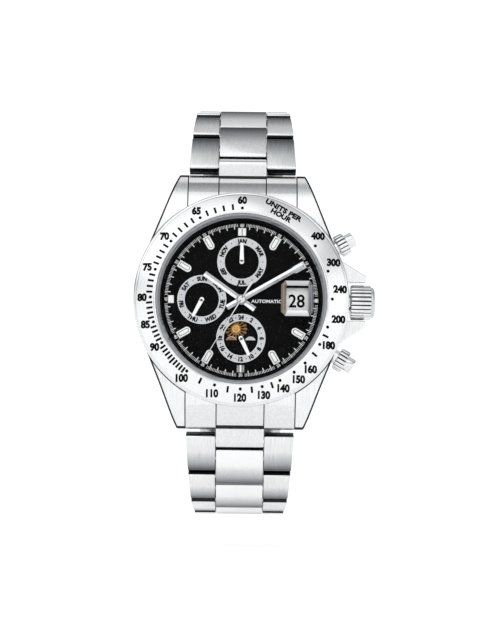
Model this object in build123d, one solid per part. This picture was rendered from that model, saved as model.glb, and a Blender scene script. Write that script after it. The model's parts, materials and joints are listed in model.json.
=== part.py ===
# Steel wristwatch: calendar dial, tachymeter bezel, screw-down crown and pushers, three-piece-link
# bracelet closed by a folding clasp.
#
# The watch is drawn in its own frame, in millimetres: x points to 3 o'clock, y to 12 o'clock and z out
# of the dial, and z = 0 is the outer face of the case back.  As each node is written it is turned a
# quarter turn about x, so that the dial faces -Y, 12 o'clock points to +Z and the wrist is on +Y.
from build123d import *
from math import cos, radians, sin
import os

# ---------------------------------------------------------------- fits
PRESS_GAP = 0.01  # radial, pieces fixed in each other
RUN_GAP = 0.05  # radial, a pin or shaft that turns in its hole
SIDE_GAP = 0.10  # between the faces of neighbouring link plates

# ---------------------------------------------------------------- case
CASE_BOTTOM = 1.0
CASE_TOP = 8.4
CASE_BARREL_R = 18.9
CASE_FLANK = 19.2  # half width at 9 o'clock
LUG_WIDTH = 20.0  # space between two lugs
LUG_TIP_Y = 23.4
LUG_TIP_THICK = 1.5  # a lug's own width at its tip
LUG_TIP_TOP = 4.3
LUG_TIP_BOTTOM = 0.4
LUG_SHOULDER_Y = 14.5  # where the flat top starts to fall towards the lug tip
LUG_SOLE_Y = 17.0  # where the flat underside starts to fall towards the lug tip
LUG_ROOT_WAIST = (5.1, 17.0)  # two points of the flank: how far in from CASE_FLANK, and y
BARREL_WAIST = (2.15, 9.6)
END_LINK_DROP = 0.1  # end link's top below the lugs' top
GUARD_OUT = 3.5  # crown guard's tip, outside the flank
GUARD_TIP_Y = 4.7
GUARD_ROOT = ((2.7, 8.6), (0.3, 7.1))  # where a guard leaves the flank: how far in, and y
GUARD_LOW = 2.4
GUARD_HIGH = 7.0

# ---------------------------------------------------------------- glass, bezel, dial
BEZEL_R = 19.6
BEZEL_BORE_R = 15.5
BEZEL_EDGE_Z = CASE_TOP + 0.95
BEZEL_LIP_Z = CASE_TOP + 2.5
GASKET_WALL = 0.35
CRYSTAL_R = BEZEL_BORE_R - GASKET_WALL
CRYSTAL_LOW = CASE_TOP + 0.8
CRYSTAL_HIGH = BEZEL_LIP_Z + 0.4
LENS_X = 10.1
LENS_SIZE = (5.9, 6.4)
LENS_RISE = 0.8
FLANGE_INNER_R = 14.2
DIAL_R = 14.7
DIAL_FACE = CASE_TOP - 1.0
DIAL_THICK = 0.4
DIAL_BACK = DIAL_FACE - DIAL_THICK
SUBDIAL_OFFSET = 7.0  # month and 24-hour dials
DAY_DIAL_OFFSET = 7.2
SUBDIAL_RECESS_R = 3.12
SUBDIAL_RECESS = 0.15
DATE_WINDOW = (4.4, 4.7)
MARKER_RISE = 0.35

# ---------------------------------------------------------------- case back and movement space
BACK_R = 16.5
BACK_THREAD_R = 15.2
BACK_THREAD_TOP = 2.0
GASKET_GROOVE = (0.8, 0.4)  # width and depth, outside the back's thread
MOVEMENT_R = 13.0
MOVEMENT_BORE_R = 13.6

# ---------------------------------------------------------------- crown and pushers
STEM_Z = 4.7
STEM_R = 0.55
STEM_INNER = 10.6
LEVER_X = 11.6  # middle of the stem's groove and of the setting lever in it
LEVER_SIZE = (0.5, 3.2, 1.4)
GROOVE_R = 0.35
CROWN_R = 3.2
CROWN_INNER = CASE_FLANK + 0.7
CROWN_LENGTH = 4.5
CROWN_OUTER = CROWN_INNER + CROWN_LENGTH
CROWN_FACE = 0.7  # smooth end of the crown, past the flutes
CROWN_FLUTES = 24
CROWN_TUBE_R = 1.5
CROWN_TUBE_END = CROWN_INNER + 1.0
PUSHER_ANGLES = (60.0, 120.0)
PUSHER_TUBE_R = 1.35
PUSHER_STEM_R = 0.6
COLLAR_R = 2.1
COLLAR_START = CASE_FLANK + 1.1
COLLAR_LENGTH = 1.9
COLLAR_END = COLLAR_START + COLLAR_LENGTH
COLLAR_RIBS = 16
PUSHER_TUBE_END = COLLAR_START + 0.7
BUTTON_R = 1.4
BUTTON_GAP = 0.15  # radial, between a button and its collar
BUTTON_START = COLLAR_END - 0.2
BUTTON_END = BUTTON_START + 1.7

# ---------------------------------------------------------------- hands, angles clockwise from 12
MINUTE_ANGLE = 60.0
HOUR_ANGLE = 305.3
SECONDS_ANGLE = 211.0
MONTH_ANGLE = 0.0
DAY_ANGLE = 207.7
HOUR24_ANGLE = 154.0
HAND_THICK = 0.25
HAND_WIDTH = 0.95
HOUR_REACH = 8.24
MINUTE_REACH = 12.9
SECONDS_REACH = 13.4
SMALL_REACH = 3.5
SMALL_LOW = DIAL_FACE + 0.15  # undersides of the hands, from the dial up
HOUR_LOW = SMALL_LOW + 0.4
MINUTE_LOW = HOUR_LOW + 0.4
SECONDS_LOW = MINUTE_LOW + 0.4
HOUR_PIPE_R = 0.85
MINUTE_PIPE_R = 0.6
SECONDS_ARBOR_R = 0.22
SMALL_ARBOR_R = 0.15

# ---------------------------------------------------------------- going train
TRAIN_DISTANCE = 5.2  # centre arbor to third arbor
THIRD_ANGLE = 210.0
ESCAPE_ANGLE = 20.0
BARREL_ANGLE = 90.0
BALANCE_ANGLE = 330.0
BALANCE_DISTANCE = 8.6
PALLET_AT = (-1.15, 5.9)  # between the escape wheel and the balance
PALLET_TURN = 64.0
CENTRE_TEETH = 64
CENTRE_PINION = 12
THIRD_TEETH = 60
FOURTH_TEETH = 80
BARREL_TEETH = 72
PINION = 8
CENTRE_MODULE = 2 * TRAIN_DISTANCE / (CENTRE_TEETH + PINION)
THIRD_MODULE = 2 * TRAIN_DISTANCE / (THIRD_TEETH + PINION)
ESCAPE_MODULE = 0.11
BARREL_MODULE = 0.1167
ADDENDUM = 0.7  # in modules
DEDENDUM = 1.0

# ---------------------------------------------------------------- movement, heights from the case back up
ROTOR_R = 12.5
ROTOR_LOW = 1.5
ROTOR_HIGH = 1.9
BRIDGE_R = 10.2
BRIDGE_LOW = 2.5
BRIDGE_HIGH = 3.1
ARBOR_LOW = 3.15
ARBOR_HIGH = 5.75
PLATE_LOW = 5.8
PLATE_HIGH = 6.3

# ---------------------------------------------------------------- bracelet
ROWS = 7  # link rows on each side
PITCH = 7.3
LINK_R = 1.35  # knuckle radius, half the thickness of a link
LINK_GAP = 0.15
LINK_EDGE = 0.15  # rounding of every plate's edges
FIRST_PIVOT = (LUG_TIP_Y + 2.0, 3.0)  # (y, z) of the pivot between end link and first row
FIRST_TILT = 30.0
TILT_STEP = 24.5
CENTRE_HALF = 4.35  # half width of a centre plate
WIDTH_START = LUG_WIDTH - 2 * SIDE_GAP
WIDTH_TAPER = 0.95  # narrower by this much per row
WIDTH_END = 16.0
HINGE_PIN_R = 0.5
ROW_PIN_R = 0.45
END_BEVEL = (1.1, 0.45)
SPRING_BAR = (LUG_TIP_Y - 2.5, 3.4)  # (y, z)
SPRING_BAR_R = 0.75
SPRING_BAR_TIP_R = 0.4
SPRING_BAR_TIP = 1.0  # how far a tip stands in its lug

# The knuckle's square heel just meets the next row's flat end when a joint is bent in by a full step.
STEP = radians(TILT_STEP)
HEEL = (LINK_R + LINK_GAP - PRESS_GAP - LINK_R * sin(STEP)) / cos(STEP)
FIRST_STOP = HEEL * cos(radians(FIRST_TILT)) + LINK_R * sin(radians(FIRST_TILT)) + PRESS_GAP

# ---------------------------------------------------------------- clasp
COVER_HALF = 8.2
WALL = 0.9
COVER_FACE_IN = LINK_R + LINK_GAP  # from the pivot line out to the inside of the cover plate
COVER_PLATE = 1.0
COVER_LENGTH = 29.9  # pivot to pivot
COVER_BOW = 0.9  # the cover plate bows outward by this much in the middle
BLADE_HALF = 5.4
BLADE_THICK = 0.9
LONG_BLADE = 18.0  # pivot to pivot
BLADE_LAYERS = (-0.55, 0.9)  # z of the two blades' middles from the line through the bracelet pivots
OPEN_PIVOT_GAP = 0.6  # between the short blade's ears and the last row's pin
COVER_EAR_R = 1.2
COVER_END = 1.0  # the cover plate stops this far short of its pivots
BLADE_EAR_R = 0.9
FOLD_HALF = 2.4  # half width of the long blade's middle knuckle
FOLD_CLEAR = 1.6  # blades stop this far short of the pivot between them


# ================================================================ helpers
def disc(radius, low, high, x=0.0, y=0.0):
    """Upright cylinder between two heights."""
    bottom_up = (Align.CENTER, Align.CENTER, Align.MIN)
    return Pos(x, y, low) * Cylinder(radius, high - low, align=bottom_up)


def ring(outer, inner, low, high, x=0.0, y=0.0):
    """Flat ring between two heights."""
    return disc(outer, low, high, x, y) - disc(inner, low - 1, high + 1, x, y)


def slab(outline, low, high):
    """A plan outline raised between two heights."""
    return Pos(0, 0, low) * extrude(outline, high - low)


def polygon(*points):
    """Closed face through plan points."""
    return make_face(Polyline(*points, close=True))


def strip(start, end, low, high):
    """Rectangle given by its limits."""
    return polygon((start, low), (end, low), (end, high), (start, high))


def turned(*points):
    """Closed (radius, z) outline turned about the dial's axis."""
    return revolve(Plane.XZ * polygon(*points), Axis.Z)


def clock(angle, radius, z=0.0):
    """Point at an angle clockwise from 12 o'clock."""
    return (radius * sin(radians(angle)), radius * cos(radians(angle)), z)


def radial(angle):
    """Location whose z axis runs outward at a clock angle, at the height of the winding stem."""
    return Plane(origin=(0, 0, STEM_Z), x_dir=(0, 0, 1), z_dir=clock(angle, 1)).location


def across(radius, half_length, y, z):
    """Pin along x, centred on the watch's middle plane."""
    return Pos(-half_length, y, z) * Rot(0, 90, 0) * disc(radius, 0, 2 * half_length)


def save(name, *shapes):
    """Write one node, turned from the watch frame to the upright frame."""
    solids = [solid for shape in shapes for solid in shape.solids()]
    export_step(Rot(90, 0, 0) * Compound(solids), f"parts/{name}.step")


# ================================================================ case
def lug_side_arc(side, lower=0.0):
    """The top of the lugs seen from the side: falls from the case to the tip; side is 1 or -1."""
    start = (side * LUG_SHOULDER_Y, CASE_TOP - lower)
    end = (side * LUG_TIP_Y, LUG_TIP_TOP - lower)
    return TangentArc(start, end, tangent=(side, 0))


def case_plan():
    """Plan of the middle: two flanks running into four lugs, with the round barrel between them."""
    lug_outer = LUG_WIDTH / 2 + LUG_TIP_THICK
    flank_points = [(lug_outer, LUG_TIP_Y)]
    flank_points += [(CASE_FLANK - inset, y) for inset, y in (LUG_ROOT_WAIST, BARREL_WAIST, (0, 0))]
    flank_points += [(x, -y) for x, y in reversed(flank_points[:-1])]
    right = Spline(*flank_points)
    left = Spline(*[(-x, y) for x, y in flank_points])
    ends = [Line((-lug_outer, y), (lug_outer, y)) for y in (LUG_TIP_Y, -LUG_TIP_Y)]
    outline = make_face([right, left, *ends])
    for side in (1, -1):
        outline -= Pos(0, side * LUG_TIP_Y) * Rectangle(LUG_WIDTH + SIDE_GAP, 2 * (LUG_TIP_Y - 12))
    return outline + Circle(CASE_BARREL_R)


def case_side():
    """Side view of the middle, in (y, z)."""
    tip_y = LUG_TIP_Y
    edges = [lug_side_arc(1), lug_side_arc(-1)]
    edges.append(Line((-LUG_SHOULDER_Y, CASE_TOP), (LUG_SHOULDER_Y, CASE_TOP)))
    for side in (1, -1):
        edges.append(Line((side * tip_y, LUG_TIP_TOP), (side * tip_y, LUG_TIP_BOTTOM)))
        edges.append(Line((side * tip_y, LUG_TIP_BOTTOM), (side * LUG_SOLE_Y, CASE_BOTTOM)))
    edges.append(Line((-LUG_SOLE_Y, CASE_BOTTOM), (LUG_SOLE_Y, CASE_BOTTOM)))
    return Plane.YZ * make_face(edges)


def crown_guards():
    """The two horns beside the crown."""
    inner_y = CROWN_R + 0.3
    tip_x = CASE_FLANK + GUARD_OUT
    roots = [(CASE_FLANK - inset, y) for inset, y in GUARD_ROOT]
    upper = polygon(*roots, (tip_x, GUARD_TIP_Y), (tip_x, inner_y), (roots[0][0], inner_y))
    guard = fillet(slab(upper, GUARD_LOW, GUARD_HIGH).edges(), 0.3)
    return guard + mirror(guard, about=Plane.XZ)


def build_case():
    middle = slab(case_plan(), 0, CASE_TOP + 1) & extrude(case_side(), 30, both=True)
    save("crown_guards", crown_guards() - middle)
    middle -= disc(MOVEMENT_BORE_R, 0, CASE_TOP + 1)
    middle -= disc(BACK_THREAD_R + PRESS_GAP, 0, BACK_THREAD_TOP + 0.05)
    middle -= ring(BACK_THREAD_R + GASKET_GROOVE[0], BACK_THREAD_R, 0, CASE_BOTTOM + GASKET_GROOVE[1])
    middle -= disc(DIAL_R + SIDE_GAP, DIAL_BACK - 0.05, CASE_TOP + 1)
    middle -= disc(BEZEL_BORE_R, DIAL_FACE, CASE_TOP + 1)
    middle -= radial(90) * disc(CROWN_TUBE_R + PRESS_GAP, 10, 30)
    for angle in PUSHER_ANGLES:
        middle -= radial(angle) * disc(PUSHER_TUBE_R + PRESS_GAP, 10, 30)
    for side in (1, -1):
        bar_y, bar_z = side * SPRING_BAR[0], SPRING_BAR[1]
        tip_half = LUG_WIDTH / 2 + SPRING_BAR_TIP + SIDE_GAP
        middle -= across(SPRING_BAR_TIP_R + RUN_GAP, tip_half, bar_y, bar_z)
    save("case_middle", middle)

    save("case_back", disc(BACK_R, 0, CASE_BOTTOM)
         + ring(BACK_THREAD_R, BACK_THREAD_R - 1.0, CASE_BOTTOM, BACK_THREAD_TOP))
    groove_top = CASE_BOTTOM + GASKET_GROOVE[1]
    save("case_back_gasket", ring(BACK_THREAD_R + GASKET_GROOVE[0] - RUN_GAP, BACK_THREAD_R + RUN_GAP,
                                  CASE_BOTTOM, groove_top - 0.02))
    save("bezel", turned(
        (BEZEL_BORE_R, CASE_TOP), (BEZEL_BORE_R, BEZEL_LIP_Z - 0.35), (BEZEL_BORE_R + 0.3, BEZEL_LIP_Z),
        (BEZEL_BORE_R + 0.5, BEZEL_LIP_Z), (BEZEL_R - 0.5, BEZEL_EDGE_Z + 0.3), (BEZEL_R, BEZEL_EDGE_Z),
        (BEZEL_R, CASE_TOP + 0.35), (BEZEL_R - 0.6, CASE_TOP)))
    save("crystal", turned(
        (0, CRYSTAL_LOW), (CRYSTAL_R, CRYSTAL_LOW), (CRYSTAL_R, CRYSTAL_HIGH - 0.5),
        (CRYSTAL_R - 0.4, CRYSTAL_HIGH - 0.1), (CRYSTAL_R - 4, CRYSTAL_HIGH), (0, CRYSTAL_HIGH)))
    seat = (BEZEL_BORE_R - PRESS_GAP, CRYSTAL_R + PRESS_GAP)
    save("crystal_gasket", ring(*seat, CRYSTAL_LOW, BEZEL_LIP_Z - 0.5))
    save("inner_flange", turned(
        (FLANGE_INNER_R, DIAL_FACE), (BEZEL_BORE_R - PRESS_GAP, DIAL_FACE),
        (BEZEL_BORE_R - PRESS_GAP, CRYSTAL_LOW), (FLANGE_INNER_R + 0.6, CRYSTAL_LOW)))
    save("date_lens", date_lens())


def date_lens():
    """Cushion lens on the glass over the date: bevelled block with one long edge bowed."""
    width, height = LENS_SIZE
    block = Pos(LENS_X, 0, CRYSTAL_HIGH + LENS_RISE / 2) * Box(width, height, LENS_RISE)
    block = chamfer(block.edges().filter_by(Axis.Z), 0.7)
    return chamfer(block.faces().sort_by(Axis.Z)[-1].edges(), LENS_RISE * 0.55)


# ================================================================ dial and hands
def night_aperture():
    """Opening over the sun and moon disc: the upper half of the sub-dial above two humps."""
    centre_y = -SUBDIAL_OFFSET
    hole = Pos(0, centre_y) * Circle(SUBDIAL_RECESS_R - 0.1)
    hole -= Pos(0, centre_y - 5.2) * Rectangle(12, 10)
    hole -= Pos(0, centre_y) * Circle(0.55)
    for side in (1, -1):
        hole -= Pos(side * 1.72, centre_y - 0.65) * Circle(0.95)
    return hole


def build_dial():
    dial = disc(DIAL_R, DIAL_BACK, DIAL_FACE)
    for x, y in ((0, SUBDIAL_OFFSET), (-DAY_DIAL_OFFSET, 0), (0, -SUBDIAL_OFFSET)):
        dial -= disc(SUBDIAL_RECESS_R, DIAL_FACE - SUBDIAL_RECESS, DIAL_FACE + 1, x, y)
        dial -= disc(SMALL_ARBOR_R + RUN_GAP, 0, DIAL_FACE + 1, x, y)
    dial -= disc(HOUR_PIPE_R + SIDE_GAP, 0, DIAL_FACE + 1)
    dial -= Pos(LENS_X, 0, DIAL_FACE) * Box(*DATE_WINDOW, 2)
    dial -= slab(night_aperture(), DIAL_BACK - 1, DIAL_FACE + 1)
    save("dial", dial)
    save("hour_markers", *hour_markers())
    save("date_ring", ring(12.5, 7.9, DIAL_BACK - 0.6, DIAL_BACK - 0.4))
    disc_bore = SMALL_ARBOR_R + PRESS_GAP
    save("sun_moon_disc", ring(3.3, disc_bore, DIAL_BACK - 0.3, DIAL_BACK - 0.1, 0, -SUBDIAL_OFFSET))


def hour_markers():
    """Applied markers: bullets, double and triple bars, a short block at 9 and a dot at 3."""
    def bar(angle, inner, outer, width, shift=0.0):
        plan = Pos(shift, (inner + outer) / 2) * Rectangle(width, outer - inner)
        return Rot(0, 0, -angle) * slab(plan, DIAL_FACE, DIAL_FACE + MARKER_RISE)

    markers = []
    for hour in (1, 2, 4, 5, 7, 8, 10, 11):
        nose = Rot(0, 0, -30 * hour) * disc(0.675, DIAL_FACE, DIAL_FACE + MARKER_RISE, 0, 11.375)
        markers.append(bar(30 * hour, 11.375, 13.3, 1.35) + nose)
    for shift in (-0.4, 0.4):
        markers.append(bar(0, 11.8, 13.2, 0.7, shift))
    for shift in (-0.53, 0.0, 0.53):
        markers.append(bar(180, 11.9, 13.3, 0.44, shift))
    markers.append(bar(270, 12.3, 13.4, 1.45))
    markers.append(bar(90, 13.5, 14.05, 0.8))
    return markers


def baton(length, tail, width, low, tip_width=None):
    """Hand pointing to 12: a bar from tail to tip, which may taper."""
    tip = (tip_width or width) / 2
    plan = polygon((-width / 2, -tail), (width / 2, -tail), (tip, length), (-tip, length))
    return slab(plan, low, low + HAND_THICK)


def build_hands():
    hour = baton(HOUR_REACH, 3.0, HAND_WIDTH, HOUR_LOW) + disc(0.95, HOUR_LOW, HOUR_LOW + HAND_THICK)
    hour += disc(HOUR_PIPE_R, PLATE_LOW + 0.05, HOUR_LOW)
    hour -= disc(MINUTE_PIPE_R + RUN_GAP, 0, CRYSTAL_LOW)
    save("hour_hand", Rot(0, 0, -HOUR_ANGLE) * hour)
    minute = baton(MINUTE_REACH, 3.0, HAND_WIDTH, MINUTE_LOW)
    minute += disc(0.9, MINUTE_LOW, MINUTE_LOW + HAND_THICK)
    minute += disc(MINUTE_PIPE_R, PLATE_LOW + 0.05, MINUTE_LOW)
    minute -= disc(SECONDS_ARBOR_R + RUN_GAP, 0, CRYSTAL_LOW)
    save("minute_hand", Rot(0, 0, -MINUTE_ANGLE) * minute)
    seconds = baton(SECONDS_REACH, 3.8, 0.3, SECONDS_LOW, 0.2)
    seconds += disc(0.7, SECONDS_LOW, SECONDS_LOW + HAND_THICK)
    seconds -= disc(SECONDS_ARBOR_R + PRESS_GAP, 0, CRYSTAL_LOW)
    save("seconds_hand", Rot(0, 0, -SECONDS_ANGLE) * seconds)

    small_hands = (("month_hand", MONTH_ANGLE, 0, SUBDIAL_OFFSET),
                   ("day_hand", DAY_ANGLE, -DAY_DIAL_OFFSET, 0),
                   ("hour24_hand", HOUR24_ANGLE, 0, -SUBDIAL_OFFSET))
    for name, angle, x, y in small_hands:
        hand = baton(SMALL_REACH, 0.0, 0.8, SMALL_LOW, 0.5)
        hand += disc(0.42, SMALL_LOW, SMALL_LOW + HAND_THICK)
        hand += disc(SMALL_ARBOR_R, DIAL_BACK - 0.35, SMALL_LOW)
        save(name, Pos(x, y, 0) * Rot(0, 0, -angle) * hand)


# ================================================================ crown and pushers
def ribbed(radius, start, end, count, depth):
    """Knurled cylinder along z: round grooves cut into its rim."""
    body = disc(radius, start, end)
    groove = disc(depth, start - 1, end + 1, radius + depth * 0.15, 0)
    for rib in range(count):
        body -= Rot(0, 0, 360 * rib / count) * groove
    return body


def build_crown():
    crown = ribbed(CROWN_R, CROWN_INNER, CROWN_OUTER - CROWN_FACE, CROWN_FLUTES, 0.28)
    face = disc(CROWN_R - 0.3, CROWN_OUTER - CROWN_FACE, CROWN_OUTER)
    crown += chamfer(face.edges().sort_by(Axis.Z)[-1], 0.35)
    crown -= disc(CROWN_TUBE_R + RUN_GAP, CROWN_INNER - 1, CROWN_TUBE_END + 0.4)
    crown -= disc(STEM_R + PRESS_GAP, CROWN_INNER - 1, CROWN_TUBE_END + 1.4)
    save("crown", radial(90) * crown)
    groove_half = LEVER_SIZE[0] / 2 + RUN_GAP
    stem = disc(STEM_R, STEM_INNER, CROWN_TUBE_END + 1.35)
    stem -= ring(1, GROOVE_R, LEVER_X - groove_half, LEVER_X + groove_half)
    save("winding_stem", radial(90) * stem)
    tube = disc(CROWN_TUBE_R, MOVEMENT_BORE_R + 0.4, CROWN_TUBE_END) - disc(STEM_R + RUN_GAP, 0, 30)
    save("crown_tube", radial(90) * tube)
    slot_half = GROOVE_R + RUN_GAP
    fork = Box(*LEVER_SIZE) - Rot(0, 90, 0) * Cylinder(slot_half, 1)
    fork -= Pos(0, 0, -1) * Box(1, 2 * slot_half, 2)
    save("setting_lever", Pos(LEVER_X, 0, STEM_Z) * fork)


def build_pushers():
    tubes = []
    for angle, name in zip(PUSHER_ANGLES, ("2", "4")):
        place = radial(angle)
        bore = disc(PUSHER_STEM_R + RUN_GAP, 0, 30)
        tubes.append(place * (disc(PUSHER_TUBE_R, MOVEMENT_BORE_R + 0.9, PUSHER_TUBE_END) - bore))
        collar = ribbed(COLLAR_R, COLLAR_START, COLLAR_END, COLLAR_RIBS, 0.2)
        collar -= disc(PUSHER_TUBE_R + RUN_GAP, 0, PUSHER_TUBE_END + 0.1)
        collar -= disc(BUTTON_R + BUTTON_GAP, PUSHER_TUBE_END + 0.05, 30)
        save(f"pusher_collar_{name}", place * collar)
        button = disc(BUTTON_R, BUTTON_START, BUTTON_END)
        button = chamfer(button.edges().sort_by(Axis.Z)[-1], 0.2)
        button += disc(PUSHER_STEM_R, MOVEMENT_BORE_R + 1.0, BUTTON_START)
        save(f"pusher_button_{name}", place * button)
    save("pusher_tubes", *tubes)


# ================================================================ movement
def gear(teeth, module, low, high, facing):
    """Thin-toothed wheel with one tooth at the clock angle facing; its teeth leave wide backlash."""
    pitch_r = module * teeth / 2
    step = 360 / teeth
    points = []
    for tooth in range(teeth):
        for share, extra in ((-0.23, -DEDENDUM), (-0.10, ADDENDUM), (0.10, ADDENDUM), (0.23, -DEDENDUM)):
            x, y, _ = clock(facing + (tooth + share) * step, pitch_r + extra * module)
            points.append((x, y))
    return slab(polygon(*points), low, high)


def meshing(teeth, line_angle):
    """Facing angle of a pinion that shows a gap along a line of centres."""
    return line_angle + 180 + 180 / teeth


def build_train():
    """Barrel, centre, third, fourth and escape wheels, with the balance and its lever."""
    third_x, third_y, _ = clock(THIRD_ANGLE, TRAIN_DISTANCE)
    barrel_x, barrel_y, _ = clock(BARREL_ANGLE, BARREL_MODULE * (BARREL_TEETH + CENTRE_PINION) / 2)
    escape_distance = ESCAPE_MODULE * (FOURTH_TEETH + PINION) / 2
    escape_x, escape_y, _ = clock(ESCAPE_ANGLE, escape_distance)
    balance_x, balance_y, _ = clock(BALANCE_ANGLE, BALANCE_DISTANCE)

    centre = gear(CENTRE_TEETH, CENTRE_MODULE, 4.75, 5.0, THIRD_ANGLE) + disc(0.5, 4.7, 5.2)
    centre += gear(CENTRE_PINION, BARREL_MODULE, 5.15, 5.7, meshing(CENTRE_PINION, BARREL_ANGLE + 180))
    save("centre_wheel", centre - disc(SECONDS_ARBOR_R + RUN_GAP, 0, PLATE_HIGH))
    third = gear(PINION, CENTRE_MODULE, 4.65, 5.1, meshing(PINION, THIRD_ANGLE))
    third += disc(0.25, ARBOR_LOW, ARBOR_HIGH)
    third += gear(THIRD_TEETH, THIRD_MODULE, 4.25, 4.5, THIRD_ANGLE + 180)
    save("third_wheel", Pos(third_x, third_y, 0) * third)
    fourth = gear(FOURTH_TEETH, ESCAPE_MODULE, 3.8, 4.0, ESCAPE_ANGLE)
    fourth += disc(SECONDS_ARBOR_R, ARBOR_LOW, SECONDS_LOW + HAND_THICK + 0.05)
    fourth += gear(PINION, THIRD_MODULE, 4.15, 4.6, meshing(PINION, THIRD_ANGLE + 180))
    save("fourth_wheel", fourth)
    escape = gear(PINION, ESCAPE_MODULE, 3.65, 4.15, meshing(PINION, ESCAPE_ANGLE))
    escape += disc(0.18, ARBOR_LOW, 4.4) + gear(15, 0.26, 3.3, 3.55, 0)
    save("escape_wheel", Pos(escape_x, escape_y, 0) * escape)
    barrel = gear(BARREL_TEETH, BARREL_MODULE, 5.2, 5.4, BARREL_ANGLE + 180)
    barrel += disc(3.9, 5.35, ARBOR_HIGH)
    save("mainspring_barrel", Pos(barrel_x, barrel_y, 0) * barrel)

    balance = ring(3.9, 3.4, 4.05, 4.45) + disc(0.25, ARBOR_LOW, ARBOR_HIGH) + disc(0.45, 3.3, 3.55)
    for spoke in (0, 120, 240):
        balance += Rot(0, 0, spoke) * Pos(0, 1.8, 4.2) * Box(0.4, 3.5, 0.2)
    save("balance_wheel", Pos(balance_x, balance_y, 0) * balance)
    lever = Pos(0, 0.7, 3.42) * Box(0.4, 2.6, 0.2) + Pos(0, -0.1, 3.42) * Box(2.6, 0.5, 0.2)
    lever += disc(0.2, ARBOR_LOW, 3.75)
    save("pallet_fork", Pos(*PALLET_AT, 0) * Rot(0, 0, PALLET_TURN) * lever)


def build_movement():
    """Main plate, bridge on three pillars, movement ring and winding rotor."""
    save("main_plate", disc(MOVEMENT_R, PLATE_LOW, PLATE_HIGH) - disc(HOUR_PIPE_R + RUN_GAP, 0, 9))
    bridge = disc(BRIDGE_R, BRIDGE_LOW, BRIDGE_HIGH)
    for angle in (60, 140, 265):
        x, y, _ = clock(angle, BRIDGE_R - 0.3)
        bridge += disc(0.5, BRIDGE_HIGH - 0.1, PLATE_LOW - PRESS_GAP, x, y)
        bridge += disc(0.7, BRIDGE_LOW, BRIDGE_HIGH, x, y)
    save("train_bridge", bridge)
    outer, inner = MOVEMENT_BORE_R - PRESS_GAP, MOVEMENT_R + PRESS_GAP
    save("movement_ring", ring(outer, inner, PLATE_LOW - 0.3, DIAL_BACK - 0.1))
    half = Pos(0, -10, 0) * Box(40, 20, 20)
    rim = ring(ROTOR_R, ROTOR_R - 1.6, ROTOR_LOW, 3.2)
    weight = (disc(ROTOR_R, ROTOR_LOW, ROTOR_HIGH) + rim) & half
    save("rotor", weight + disc(1.6, ROTOR_LOW, ROTOR_HIGH) + disc(0.6, ROTOR_LOW, BRIDGE_LOW - 0.1))


# ================================================================ bracelet
def half_width(pivot):
    """Half the bracelet's width at a pivot, counted from the case."""
    return max(WIDTH_START - WIDTH_TAPER * pivot, WIDTH_END) / 2


def pivot_chain():
    """(y, z) of each pivot on the 12 o'clock side, and the tilt of the row that starts there."""
    y, z = FIRST_PIVOT
    tilts = [FIRST_TILT + TILT_STEP * row for row in range(ROWS)]
    points = [(y, z)]
    for tilt in tilts:
        y += PITCH * cos(radians(tilt))
        z -= PITCH * sin(radians(tilt))
        points.append((y, z))
    return points, tilts


def row_location(side, pivot, tilt):
    """Frame of a row: x along the row, y out of its face, z across; side is 1 at 12, -1 at 6 o'clock."""
    y, z = pivot
    along = (0, side * cos(radians(tilt)), -sin(radians(tilt)))
    return Plane(origin=(0, side * y, z), x_dir=along, z_dir=(side, 0, 0)).location


def thick(outline, low, high):
    """A row's side view made solid between two positions across the bracelet."""
    return Pos(0, 0, low) * extrude(outline, high - low)


def side_plate(row):
    """Outer plate of a row: round knuckle with a square heel at the start, bevelled flat end."""
    end = PITCH - LINK_R - LINK_GAP
    bevel_length, bevel_drop = END_BEVEL
    body = polygon((0, -LINK_R), (end, -LINK_R), (end, LINK_R - bevel_drop),
                   (end - bevel_length, LINK_R), (0, LINK_R))
    body += Circle(LINK_R) + polygon((-HEEL, -LINK_R), (0, -LINK_R), (0, 0), (-HEEL, 0))
    inner = CENTRE_HALF + SIDE_GAP
    plate = thick(body, inner, 12)
    start_half, end_half = half_width(row), half_width(row + 1)
    plan = polygon((-2, inner), (end + 1, inner), (end + 1, end_half), (-2, start_half))
    plate &= Rot(90, 0, 0) * Pos(0, 0, -5) * extrude(plan, 10)
    plate = fillet(plate.edges(), LINK_EDGE)
    plate -= disc(HINGE_PIN_R + PRESS_GAP, 0, 20)
    return plate - Pos(PITCH / 2, 0, 0) * disc(ROW_PIN_R + PRESS_GAP, 0, 20)


def centre_plate():
    """Middle plate of a row: flat start, round knuckle about the next pivot."""
    start = LINK_R + LINK_GAP
    body = polygon((start, -LINK_R), (PITCH, -LINK_R), (PITCH, LINK_R),
                   (start + 0.5, LINK_R), (start, LINK_R - 0.4))
    body += Pos(PITCH, 0) * Circle(LINK_R)
    plate = thick(body, -CENTRE_HALF, CENTRE_HALF)
    plate = fillet(plate.edges(), LINK_EDGE)
    plate -= Pos(PITCH, 0, -10) * disc(HINGE_PIN_R + RUN_GAP, 0, 20)
    return plate - Pos(PITCH / 2, 0, -10) * disc(ROW_PIN_R + PRESS_GAP, 0, 20)


def link_row(row):
    """One row in its own frame: two side plates, centre plate, hinge pin and row pin."""
    outer = side_plate(row)
    pin_half = half_width(row + 1) - 0.05
    hinge_pin = Pos(0, 0, -pin_half) * disc(HINGE_PIN_R, 0, 2 * pin_half)
    row_pin = Pos(PITCH / 2, 0, -pin_half) * disc(ROW_PIN_R, 0, 2 * pin_half)
    return [outer, mirror(outer, about=Plane.XY), centre_plate(), hinge_pin, row_pin]


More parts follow.
